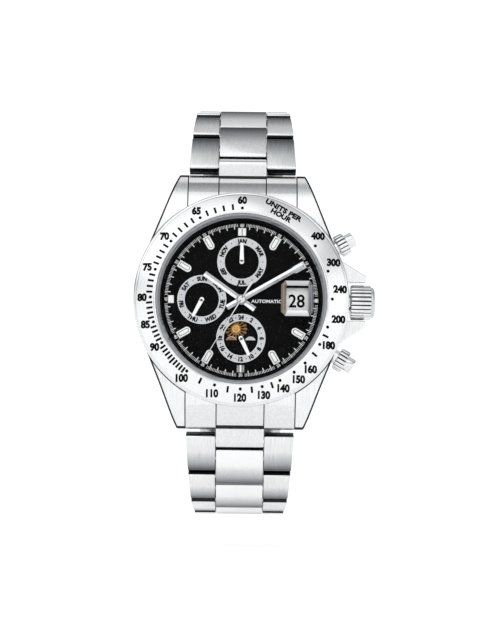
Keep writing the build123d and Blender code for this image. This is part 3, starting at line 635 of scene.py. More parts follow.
def bent(word: Surface, radius: float, angle: float, height: float, flip: bool = False) -> Surface:
    """Bend a straight word along a circle about the dial's axis.

    A point (u, v) goes to radius r + v at clock angle a + u / r; flipped, to r - v at a - u / r.

    Args:
        word: surface from lettering.
        radius: the circle through the letters' middles.
        angle: clock angle of the word's middle, in degrees.
        height: z of the underside.
        flip: the letters' tops point to the centre.

    Returns:
        The bent word.
    """
    sign = -1.0 if flip else 1.0

    def around(points: Array) -> Array:
        reach = radius + sign * points[:, 1]
        turn = radians(angle) + sign * points[:, 0] / radius
        return np.column_stack([reach * np.sin(turn), reach * np.cos(turn), points[:, 2] + height])

    return word.moved(around)


def lower_half(angle: float) -> bool:
    """Tell whether lettering at a clock angle turns its tops to the centre.

    Args:
        angle: clockwise from 12 o'clock, in degrees.

    Returns:
        True between 3 and 9 o'clock, through 6.
    """
    return 90.0 < angle % 360 < 270.0


def front(node: str) -> float:
    """Find how far a CAD node reaches out of the dial.

    Args:
        node: the node's name.

    Returns:
        Its highest z in the watch frame, in mm.
    """
    return -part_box(node)[0].y / MM


def behind(node: str) -> float:
    """Find how far a CAD node reaches to the case back.

    Args:
        node: the node's name.

    Returns:
        Its lowest z in the watch frame, in mm.
    """
    return -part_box(node)[1].y / MM


def joined(surfaces: Sequence[Surface]) -> Surface:
    """Put all surfaces of a list together.

    Args:
        surfaces: at least one.

    Returns:
        All of them as one surface.
    """
    return surfaces[0].joined(*surfaces[1:])


# ================================================================ dial
@dataclass
class DialWork:
    """Everything fixed on the dial: rings with their words, minute track, applied markers, printing."""

    ring_outer: float = 4.5
    ring_inner: float = 3.1
    ring_rise: float = 0.06
    ring_offset: float = 7.0
    day_offset: float = 7.2
    word_height: float = 0.84
    hour_height: float = 0.86
    word_radius: float = 3.82
    word_weight: float = 0.06
    word_squeeze: float = 0.9
    dot_radius: float = 0.1
    ink: float = 0.012
    track_outer: float = 14.0
    track_inner: float = 13.0
    long_stroke: float = 0.42
    short_stroke: float = 0.55
    wide_stroke: float = 0.15
    fine_stroke: float = 0.09
    minute_radius: float = 13.72
    minute_height: float = 0.56
    name_width: float = 5.6
    name_at: tuple[float, float] = (4.6, -0.2)
    marker_rise: float = 0.35
    months: tuple[str, ...] = ("JAN", "MAR", "MAY", "JUL", "SEP", "NOV")
    days: tuple[str, ...] = ("SUN", "MON", "TUE", "WED", "THU", "FRI", "SAT")
    face: float = field(init=False)

    def __post_init__(self) -> None:
        """Take the dial's face from the CAD."""
        self.face = front("dial")

    def ring(self, x: float, y: float) -> Surface:
        """Turn a sub-dial's flat ring with a thin bright edge inside and outside.

        Args:
            x: the ring's centre towards 3 o'clock.
            y: the ring's centre towards 12 o'clock.

        Returns:
            The ring; finish 1 on the edges.
        """
        low, mid, top = self.face - 0.01, self.face + self.ring_rise, self.face + self.ring_rise + 0.04
        outer, inner = self.ring_outer, self.ring_inner
        profile = [(outer, low), (outer, mid), (outer - 0.03, top), (outer - 0.12, top),
                   (outer - 0.15, mid), (inner + 0.14, mid), (inner + 0.11, top), (inner + 0.03, top),
                   (inner, mid), (inner, low)]
        return lathe(profile, 120, (1, 1, 1, 1, 0, 1, 1, 1, 1, 0), x, y)

    def words(self, names: Sequence[str], x: float, y: float, height: float) -> Surface:
        """Bend names evenly round a ring, with a dot halfway between neighbours.

        Args:
            names: words, the first at 12 o'clock.
            x: the ring's centre towards 3 o'clock.
            y: the ring's centre towards 12 o'clock.
            height: height of the capitals, in mm.

        Returns:
            The black print.
        """
        top = self.face + self.ring_rise
        parts = []
        for number, name in enumerate(names):
            angle = 360 * number / len(names)
            word = lettering(name, height, self.word_weight, self.word_squeeze)
            parts.append(bent(word, self.word_radius, angle, top, lower_half(angle)))
            dot = disc_outline(self.dot_radius, *clock(angle + 180 / len(names), self.word_radius), 12)
            parts.append(plate(dot, ((0, top), (0, top + self.ink))))
        return joined(parts).turned(0, x, y)

    def minute_track(self) -> Surface:
        """Print the minute track.

        Each minute has a long stroke and four short ones.  At every fifth minute the long stroke is cut off
        and the nearest short ones are left out, to make room for a number; at 15 the date window stands.

        Returns:
            The white print.
        """
        low, top = self.face - 0.01, self.face + self.ink
        parts = []
        for step in range(300):
            fifth = step % 5
            from_number = min(step % 25, 25 - step % 25)
            if fifth and from_number < 3:
                continue
            outer = self.track_outer if from_number else self.track_inner + self.long_stroke
            inner = self.track_outer - self.short_stroke if fifth else self.track_inner
            width = self.fine_stroke if fifth else self.wide_stroke
            stroke = plate(box_outline(width, inner, outer), ((0, low), (0, top)))
            parts.append(stroke.turned(step * 1.2))
        for minute in range(5, 61, 5):
            if minute == 15:
                continue
            word = lettering(f"{minute:02d}", self.minute_height, 0.03, 0.95)
            parts.append(bent(word, self.minute_radius, 6 * minute, self.face, lower_half(6 * minute)))
        return joined(parts)

    def bullet(self) -> Surface:
        """Make one applied bullet at 12, with a bevelled rim and a groove round a raised middle.

        Returns:
            The bullet, with finish 1, painted shade, in the groove.
        """
        z, rise = self.face, self.marker_rise
        steps = ((0, z), (0, z + rise - 0.08), (0.07, z + rise), (0.26, z + rise), (0.30, z + rise - 0.12),
                 (0.36, z + rise - 0.12), (0.40, z + rise - 0.02), (0.46, z + rise))
        return plate(bullet_outline(1.35, 10.7, 13.3), steps, (0, 0, 0, 1, 1, 1, 0, 0))

    def bar(self, width: float, inner: float, outer: float, x: float = 0.0, number: int = 0) -> Surface:
        """Make one applied bar at 12 with bevelled edges.

        Args:
            width: of the bar.
            inner: its end nearer the axis.
            outer: its far end.
            x: its middle.
            number: its finish.

        Returns:
            The bar.
        """
        z, rise = self.face, self.marker_rise
        steps = ((0, z), (0, z + rise - 0.1), (0.1, z + rise))
        return plate(box_outline(width, inner, outer, x), steps, (number, number, number))

    def markers(self) -> Surface:
        """Put the markers round: bullets, twin bars at 12, a block at 9, three bars at 6, lume at 3.

        Returns:
            All markers.
        """
        parts = [self.bullet().turned(30 * hour) for hour in (1, 2, 4, 5, 7, 8, 10, 11)]
        parts += [self.bar(0.68, 11.8, 13.2, x) for x in (-0.4, 0.4)]
        parts.append(self.bar(1.45, 12.3, 13.4).turned(270))
        # The two outer bars at 6 take the darker marker metal.
        parts += [self.bar(0.5, 11.9, 13.3, x, 1).turned(180) for x in (-0.5, 0.5)]
        parts.append(self.bar(0.42, 11.9, 13.3).turned(180))
        parts.append(self.bar(0.7, 13.4, 14.02, 0.0, 2).turned(90))
        return joined(parts)

    def build(self) -> None:
        """Make every piece fixed on the dial."""
        rings = {"month": (0.0, self.ring_offset), "day": (-self.day_offset, 0.0),
                 "hour24": (0.0, -self.ring_offset)}
        hours = [str(hour) if hour else "24" for hour in range(0, 24, 2)]
        names = {"month": self.months, "day": self.days, "hour24": hours}
        for name, (x, y) in rings.items():
            silver = replace(RING_SILVER, name=f"{RING_SILVER.name}_{name}", rings_about=(x, y))
            self.ring(x, y).piece(f"{name}_ring", (silver, POLISHED), "head", "marker_metal")
            height = self.hour_height if name == "hour24" else self.word_height
            printed = self.words(names[name], x, y, height)
            printed.piece(f"{name}_ring_print", (BLACK_INK,), "head", "dial_black")
        self.minute_track().piece("minute_track_print", (WHITE_INK,), "head", "dial_black")
        self.markers().piece("applied_markers", (BRIGHT_MARKER, MARKER_GROOVE_SHADE, LUME), "head",
                             "marker_metal", ("hour_markers",))
        word = lettering("AUTOMATIC", 0.6, 0.02, 1.0)
        stretch = np.array([self.name_width / np.ptp(word.points[:, 0]), 1, 1])
        spread = word.moved(lambda points: points * stretch + np.array([*self.name_at, self.face]))
        spread.piece("winding_word_print", (WHITE_INK,), "head", "dial_black")


@dataclass
class SkyDisc:
    """The turning disc under the 24-hour dial, with a sun by day and a crescent by night."""

    centre_y: float = -7.0
    radius: float = 3.25
    thickness: float = 0.2
    sun_at: tuple[float, float] = (-0.91, 1.76)
    sun_radius: float = 0.72
    ray_reach: float = 1.45
    ray_swing: float = 0.62
    ray_sway: float = 0.08
    moon_at: tuple[float, float] = (0.9, -1.8)
    moon_radius: float = 0.9
    hump_at: tuple[float, float] = (1.72, -0.65)
    hump_radius: float = 0.93
    hump_rim: float = 0.05

    def rays(self, top: float) -> Surface:
        """Draw wavy rays round the sun, cut off at the disc's edge.

        The reach at angle a is r + d cos 16a (0.75 + 0.25 cos 2a), laid at the angle a + w sin 32a.

        Args:
            top: height of the disc.

        Returns:
            The rays, with finish 1.
        """
        angle = np.linspace(0, 2 * pi, 192, endpoint=False)
        reach = self.ray_reach + self.ray_swing * np.cos(16 * angle) * (0.75 + 0.25 * np.cos(2 * angle))
        swayed = angle + self.ray_sway * np.sin(32 * angle)
        outline = np.column_stack([self.sun_at[0] + reach * np.cos(swayed),
                                   self.sun_at[1] + reach * np.sin(swayed)])
        length = np.linalg.norm(outline, axis=1, keepdims=True)
        outline *= np.minimum(1, (self.radius - 0.05) / length)
        return plate(outline, ((0, top), (0, top + 0.01)), (1, 1))

    def face(self, top: float) -> Surface:
        """Make the sun's face: a disc (finish 2), two eyes and a curved mouth (finish 3).

        Args:
            top: height of the sky disc.

        Returns:
            The face.
        """
        x, y = self.sun_at
        disc = plate(disc_outline(self.sun_radius, x, y, 40),
                     ((0, top), (0, top + 0.02), (0.1, top + 0.04)), (2, 2, 2))
        eyes = [plate(disc_outline(0.09, x + shift, y + 0.16, 12), ((0, top), (0, top + 0.05)), (3, 3))
                for shift in (-0.25, 0.25)]
        turn = np.linspace(-2.5, -0.65, 12)
        arc = np.concatenate([np.column_stack([0.36 * np.cos(turn), 0.36 * np.sin(turn)]),
                              np.column_stack([0.27 * np.cos(turn[::-1]), 0.27 * np.sin(turn[::-1])])])
        mouth = plate(arc + np.array([x, y + 0.02]), ((0, top), (0, top + 0.05)), (3, 3))
        return joined([disc, *eyes, mouth])

    def moon(self, top: float) -> Surface:
        """Make the crescent: a round outer edge and a flatter inner one, both open by half a radian.

        Args:
            top: height of the sky disc.

        Returns:
            The crescent, with finish 4.
        """
        angle = np.linspace(0.5, 2 * pi - 0.5, 30)
        outer = np.column_stack([np.cos(angle), np.sin(angle)]) * self.moon_radius
        inner = np.column_stack([np.cos(angle[::-1]) * 0.72 + 0.28, np.sin(angle[::-1]) * 0.62])
        outline = np.concatenate([outer, inner]) + np.array(self.moon_at)
        return plate(outline, ((0, top), (0, top + 0.01)), (4, 4))

    def humps(self, face: float) -> Surface:
        """Make the two humps that the sun and the moon go down behind, each with a white rim.

        Args:
            face: height of the opening's floor.

        Returns:
            Humps with finishes 0 and 1, and rims with finish 2.
        """
        angle = np.linspace(radians(20), radians(160), 24)
        arc = np.column_stack([np.cos(angle), np.sin(angle)])
        parts = []
        for sign, number in ((-1, 0), (1, 1)):
            middle = np.array([sign, 1]) * np.array(self.hump_at)
            hump = middle + self.hump_radius * arc
            rim = middle + (self.hump_radius + self.hump_rim) * arc[::-1]
            parts.append(plate(hump, ((0, face - 0.1), (0, face + 0.01)), (number, number)))
            edge = np.concatenate([rim, hump])[::-1]
            parts.append(plate(edge, ((0, face - 0.1), (0, face + 0.03)), (2, 2)))
        return joined(parts)

    def build(self) -> None:
        """Make the turning disc with its pictures, and the fixed humps over it."""
        top = front("sun_moon_disc")
        disc = plate(disc_outline(self.radius, count=96), ((0, top - self.thickness), (0, top)))
        sky = joined([disc, self.rays(top), self.face(top), self.moon(top)]).turned(0, 0, self.centre_y)
        sky.piece("sky_disc", (NIGHT_LACQUER, HUMP_BRONZE, SUN_GOLD, BLACK_INK, HUMP_GREY), "hour24_hand",
                  "sun_moon_print", ("sun_moon_disc",))
        humps = self.humps(front("dial") - 0.15).turned(0, 0, self.centre_y)
        humps.piece("sky_humps", (HUMP_BRONZE, HUMP_GREY, WHITE_INK), "head", "dial_black")


@dataclass
class DateRing:
    """Dates on the ring under the window, as large as the magnifier shows them."""

    ring_radius: float = 10.1
    digit_height: float = 2.38
    ink: float = 0.01
    dates: tuple[int, ...] = (28, 1, 4, 7, 10, 13, 16, 19, 22, 25)

    def build(self) -> None:
        """Print the dates, the first under the window at 3 o'clock."""
        top = front("date_ring")
        parts = []
        for number, date in enumerate(self.dates):
            word = lettering(str(date), self.digit_height, 0.02, 0.92)
            thin = np.array([1.0, 1.0, self.ink / np.ptp(word.points[:, 2])])
            placed = word.moved(lambda points: points * thin + np.array([self.ring_radius, 0, top]))
            parts.append(placed.turned(360 * number / len(self.dates)))
        joined(parts).piece("date_numbers", (BLACK_INK,), "date_ring", "date_white")


# ================================================================ hands
@dataclass
class Hands:
    """All hands: faceted batons for hours and minutes, a needle for seconds, small white pointers."""

    hour_angle: float = 305.3
    minute_angle: float = 60.0
    seconds_angle: float = 211.0
    small_angles: tuple[tuple[str, float, float, float], ...] = (
        ("month_hand", 0.0, 0.0, 7.0), ("day_hand", 207.7, -7.2, 0.0), ("hour24_hand", 154.0, 0.0, -7.0))
    width: float = 0.95
    thick: float = 0.25
    ridge: float = 0.15
    tail: float = 3.0
    hour_reach: float = 8.24
    minute_reach: float = 12.9

    def baton(self, reach: float, low: float) -> Surface:
        """Make two facets that meet in a ridge, with upright ends.

        Row i is one corner of the section, column j one end: (x_i, y_j, z_i).

        Args:
            reach: from the centre to the tip.
            low: z of the underside.

        Returns:
            The closed hand, pointing to 12.
        """
        half, high = self.width / 2, low + self.thick
        x = np.array([half, half, 0.0, -half, -half])
        z = np.array([low, high - self.ridge, high, high - self.ridge, low])
        y = np.array([-self.tail, reach])
        columns = np.stack([np.stack([x, np.full(5, end), z], -1) for end in y], 1)
        # Right side, right facet and underside take finish 0, painted shade; left facet and left side take
        # finish 1, painted highlight.
        wall = Surface.grid(columns, around=False, closed=True, finish=(0, 0, 1, 1, 0))
        caps = [(0, 2, 4, 6, 8), (9, 7, 5, 3, 1)]
        return Surface(wall.points, wall.faces + caps, np.concatenate([wall.finish, [0, 0]]))

    def hub(self, radius: float, bore: float, low: float, high: float) -> Surface:
        """Turn a hub with a bevelled rim, and a pipe hole.

        Args:
            radius: of the hub.
            bore: radius of the hole.
            low: underside.
            high: top.

        Returns:
            The closed hub.
        """
        bevel = 0.06
        return lathe([(radius, low), (radius, high - bevel), (radius - bevel, high), (bore, high),
                      (bore, low)], 48)

    def build(self) -> None:
        """Make the three main hands and the three small ones."""
        pipe_low = behind("minute_hand")
        minute_top, hour_top, seconds_top = front("minute_hand"), front("hour_hand"), front("seconds_hand")
        hour_low, minute_low = hour_top - self.thick, minute_top - self.thick
        hour = joined([self.baton(self.hour_reach, hour_low), self.hub(0.95, 0.66, hour_low, hour_top),
                       self.hub(0.85, 0.66, pipe_low, hour_low)])
        hour.turned(self.hour_angle).piece("hour_baton", (PAINTED_SHADE_FACET, PAINTED_HIGHLIGHT_FACET), "hour_hand",
                                           "hand_metal", ("hour_hand",), 10)
        minute = joined([self.baton(self.minute_reach, minute_low),
                         self.hub(0.9, 0.28, minute_low, minute_top),
                         self.hub(0.6, 0.28, pipe_low, minute_low)])
        minute.turned(self.minute_angle).piece("minute_baton", (PAINTED_SHADE_FACET, PAINTED_HIGHLIGHT_FACET), "minute_hand",
                                               "hand_metal", ("minute_hand",), 10)
        low = seconds_top - self.thick
        needle = np.array([(-0.26, -3.8), (0.26, -3.8), (0.13, -1.2), (0.13, 0), (0.08, 13.4),
                           (-0.08, 13.4), (-0.13, 0), (-0.13, -1.2)])
        seconds = joined([plate(needle, ((0, low), (0, seconds_top - 0.04), (0.04, seconds_top))),
                          self.hub(0.7, 0.23, low, seconds_top)])
        seconds.turned(self.seconds_angle).piece("seconds_needle", (POLISHED,), "seconds_hand",
                                                 "hand_metal", ("seconds_hand",), 25)
        for name, angle, x, y in self.small_angles:
            top = front(name)
            low = top - self.thick
            bar = np.array([(-0.4, 0), (0.4, 0), (0.27, 3.5), (-0.27, 3.5)])
            small = joined([plate(bar, ((0, low), (0, top - 0.05), (0.06, top))),
                            plate(disc_outline(0.42), ((0, low), (0, top - 0.04), (0.05, top))),
                            plate(disc_outline(0.15, count=16), ((0, front("dial") - 0.7), (0, low))),
                            plate(disc_outline(0.12, count=16), ((0, top - 0.01), (0, top + 0.005)),
                                  (1, 1))])
            small.turned(angle, x, y).piece(f"{name}_pointer", (WHITE_HAND, BLACK_INK), name, "hand_metal",
                                            (name,), 25)


# ================================================================ bezel and glass
@dataclass
class Bezel:
    """Slightly conical tachymeter bezel with its inked scale, and the magnifier over the date."""

    radius: float = 19.6
    bore: float = 15.5
    text_radius: float = 18.0
    text_height: float = 1.42
    text_weight: float = 0.052
    ink: float = 0.015
    dot_radius: float = 16.45
    dot_size: float = 0.29
    stroke_start: float = 16.12
    stroke_end: float = 17.25
    longer_stroke_end: float = 17.5
    stroke_width: float = 0.4
    lip: float = 0.5
    fall: float = 1.25
    top: float = field(init=False)
    low: float = field(init=False)
    speeds: tuple[int, ...] = (60, 65, 70, 75, 80, 85, 90, 100, 110, 120, 130, 140, 150, 160, 180, 200, 240,
                               300, 400)
    shifts: tuple[tuple[int, float], ...] = ((180, -2.4), (200, -6.5), (240, -6.0), (300, -4.0),
                                             (400, -4.0))

    def __post_init__(self) -> None:
        """Take the heights from the CAD."""
        self.top = front("bezel")
        self.low = behind("bezel")

    def cone(self, points: Array) -> Array:
        """Drop flat points onto the cone: z falls evenly with the radius from the lip to the rim.

        Args:
            points: rows of x, y and height over the face.

        Returns:
            The dropped points.
        """
        reach = np.hypot(points[:, 0], points[:, 1])
        share = (reach - self.bore - self.lip) / (self.radius - self.bore - 2 * self.lip)
        fall = np.clip(share, 0, 1.2) * self.fall
        return np.column_stack([points[:, :2], points[:, 2] + self.top - fall])

    def body(self) -> Surface:
        """Turn the ring: bore and lip, conical face, rounded rim, upright wall.

        Returns:
            The ring, with finish 0 on the conical face and 1 elsewhere.
        """
        top, low, rim = self.top, self.low, self.radius
        face_end = top - self.fall
        turn = np.linspace(0.0, 1.0, 6) * pi / 2
        corner = [(rim - 0.45 + 0.45 * cos(a), face_end - 0.5 + 0.42 * sin(a)) for a in turn]
        profile = [(rim - 0.6, low), (rim, low + 0.35), *corner, (rim - 0.62, face_end + 0.05),
                   (self.bore + self.lip, top), (self.bore + 0.42, top - 0.03),
                   (self.bore + 0.30, top - 0.01),
                   (self.bore + 0.08, top - 0.12), (self.bore, top - 0.35), (self.bore, low)]
        conical = 2 + len(corner)
        return lathe(profile, 256, [int(side != conical) for side in range(len(profile))])

    def angle_of(self, speed: float) -> float:
        """Find where the seconds hand stands for a speed: at 360 * 60 / v degrees.

        Args:
            speed: units per hour.

        Returns:
            The clock angle, in degrees.
        """
        return 21600.0 / speed

    def scale(self) -> Surface:
        """Print upright numbers, dots, strokes and the unit words, all dropped onto the cone.

        Returns:
            The black print.
        """
        shift, layer, parts = dict(self.shifts), ((0, 0), (0, self.ink)), []
        for speed in self.speeds:
            angle = self.angle_of(speed)
            word = lettering(str(speed), self.text_height, self.text_weight, 0.9)
            parts.append(word.turned(0, *clock(angle + shift.get(speed, 0.0), self.text_radius)))
            dot = disc_outline(self.dot_size, *clock(angle, self.dot_radius), 20)
            parts.append(plate(dot, layer))
        strokes = [start + step for start in (60, 65, 70, 75, 80, 85) for step in (1, 2, 3, 4)]
        strokes += [*range(91, 100), 105, 115, 125, 135, 170, 190]
        for speed in strokes:
            end = self.longer_stroke_end if speed == 95 else self.stroke_end
            stroke = plate(box_outline(self.stroke_width, self.stroke_start, end), layer)
            parts.append(stroke.turned(self.angle_of(speed)))
        for text, radius, width in (("UNITS PER", 17.9, 7.4), ("HOUR", 16.75, 4.1)):
            word = lettering(text, 1.0, 0.05, 1.0)
            stretch = np.array([width / np.ptp(word.points[:, 0]), 1, 1])
            stretched = word.moved(lambda points: points * stretch)
            parts.append(stretched.turned(29.0, *clock(25.0, radius)))
        return joined(parts).moved(self.cone)

    def lens(self) -> Surface:
        """Make the cushion lens over the date: cut corners, wide bevels, flat top.

        Returns:
            The lens: finish 0 on the flats, 1 on the upper and lower bevels, 2 and 3 on the side ones; the
                bevels carry painted reflections.
        """
        low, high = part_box("date_lens")
        left, right, half = low.x / MM, high.x / MM, high.z / MM
        base, top, cut = behind("date_lens"), front("date_lens"), 0.75
        outline = np.array([(left + cut, -half), (right - cut, -half), (right, -half + cut),
                            (right, half - cut), (right - cut, half), (left + cut, half),
                            (left, half - cut), (left, -half + cut)])
        made = plate(outline, ((0, base), (0.02, base + 0.25), (0.75, top - 0.06), (0.95, top)))
        # The bevels get painted reflections: bright above and below, brown on the left, grey on the right.
        band = np.tile(np.array([1, 3, 3, 3, 1, 2, 2, 2]), 3)
        return Surface(made.points, made.faces, np.concatenate([band, [0, 0]]))

    def build(self) -> None:
        """Make the bezel, its scale and the lens."""
        self.body().piece("bezel_ring", (BEZEL_STEEL, POLISHED), "head", "bezel_steel", ("bezel",), 25)
        self.scale().piece("tachymeter_scale", (BLACK_INK,), "head", "bezel_steel")
        self.lens().piece("date_magnifier", (LENS_TOP, LENS_PAINTED_HIGHLIGHT, LENS_PAINTED_BROWN_REFLECTION, LENS_PAINTED_GREY_REFLECTION), "head",
                          "crystal_glass", ("date_lens",), 5)


# ================================================================ crown and pushers
@dataclass
class Controls:
    """Screw-down crown and two screw-down pushers."""

    stem_z: float = 4.7
    crown_radius: float = 3.2
    crown_start: float = 19.9
    crown_end: float = 24.4
    flutes: int = 24
    flute_depth: float = 0.36
    collar_radius: float = 2.1
    collar_start: float = 20.3
    collar_end: float = 22.2
    ribs: int = 16
    rib_depth: float = 0.28
    button_radius: float = 1.4
    button_end: float = 23.7

    def outward(self, surface: Surface, angle: float) -> Surface:
        """Lay a surface drawn about z along a clock direction at the stem's height.

        Args:
            surface: what is laid; its z becomes the distance from the dial's axis.
            angle: the clock direction, in degrees.

        Returns:
            The laid surface.
        """
        sine, cosine = sin(radians(angle)), cos(radians(angle))

        def lay(points: Array) -> Array:
            u, v, w = points.T
            return np.column_stack([w * sine + v * cosine, w * cosine - v * sine, self.stem_z - u])

        return surface.moved(lay)

    def fluted(self, radius: float, start: float, end: float, count: int, depth: float,
               bore: float) -> Surface:
        """Make a grip whose radius is R - d (1 - |sin(n a / 2)|^0.7), drawn in at both ends.

        Args:
            radius: over the ribs.
            start: near end along the axis.
            end: far end along the axis.
            count: ribs round the grip.
            depth: of the grooves.
            bore: radius of the hole, zero for a closed end.

        Returns:
            The closed surface: finish 0 on the ribs, 1 on the ends and bore, 2 in the grooves, for painted
                shade.
        """
        columns = 12 * count
        angle = np.arange(columns) * 2 * pi / columns
        groove = depth * (1 - np.abs(np.sin(count * angle / 2)) ** 0.7)
        share = np.array([0.0, 0.6, 1.0, 1.0, 0.6, 0.0])
        drop = np.array([0.35, 0.1, 0.0, 0.0, 0.1, 0.35])
        height = np.array([start, start + 0.1, start + 0.35, end - 0.35, end - 0.1, end])
        reach = radius - drop[:, None] - groove[None, :] * share[:, None]
        reach = np.concatenate([reach, np.full((2, columns), max(bore, AXIS_RADIUS))])
        height = np.concatenate([height, [end, start]])
        grid = np.stack([reach * np.cos(angle), reach * np.sin(angle),
                         np.outer(height, np.ones(columns))], -1)
        made = Surface.grid(grid, around=True, closed=True, finish=(0, 0, 0, 0, 0, 1, 1, 1))
        numbers = made.finish.reshape(len(height), -1)
        # The deeper grooves take finish 2, painted shade.
        numbers[1:4, groove > 0.45 * depth] = 2
        return made

    def build(self) -> None:
        """Make the crown, the collars and the buttons."""
        grip = self.fluted(self.crown_radius, self.crown_start, self.crown_end - 0.6, self.flutes,
                           self.flute_depth, 1.55)
        end, face = self.crown_end, self.crown_end - 0.7
        cap = lathe([(2.8, face), (2.8, end - 0.35), (2.6, end - 0.12), (2.2, end),
                     (AXIS_RADIUS, end - 0.02), (AXIS_RADIUS, face)], 64, (1, 1, 1, 1, 1, 1))
        crown = self.outward(joined([grip, cap]), 90)
        crown.piece("fluted_crown", (POLISHED, BRUSHED_ACROSS, PAINTED_SHADE_STEEL), "crown", "crown_steel",
                    ("crown",), 30)
        for name, angle in (("2", 60.0), ("4", 120.0)):
            collar = self.fluted(self.collar_radius, self.collar_start, self.collar_end, self.ribs,
                                 self.rib_depth, 1.56)
            collar = self.outward(collar, angle)
            collar.piece(f"ribbed_collar_{name}", (POLISHED, POLISHED, PAINTED_SHADE_STEEL),
                         f"pusher_collar_{name}", "crown_steel", (f"pusher_collar_{name}",), 30)
            low, end = self.collar_end - 0.2, self.button_end
            rim = self.button_radius
            cap = lathe([(rim, low), (rim, end - 0.3), (rim - 0.08, end - 0.1), (rim - 0.3, end),
                         (AXIS_RADIUS, end), (AXIS_RADIUS, end - 1.6), (0.6, end - 1.7), (0.6, 14.7),
                         (AXIS_RADIUS, 14.7), (AXIS_RADIUS, 14.6), (0.65, 14.6), (0.65, low)], 64)
            self.outward(cap, angle).piece(f"pusher_cap_{name}", (POLISHED,), f"pusher_button_{name}",
                                           "crown_steel", (f"pusher_button_{name}",), 30)


# ================================================================ bracelet
# Numbers of a link's finishes; the third marks faces that look into a gap, which get painted shade.
BRUSHED_TOP, BEVEL, PAINTED_GAP_SHADE, POLISHED_TOP = range(4)


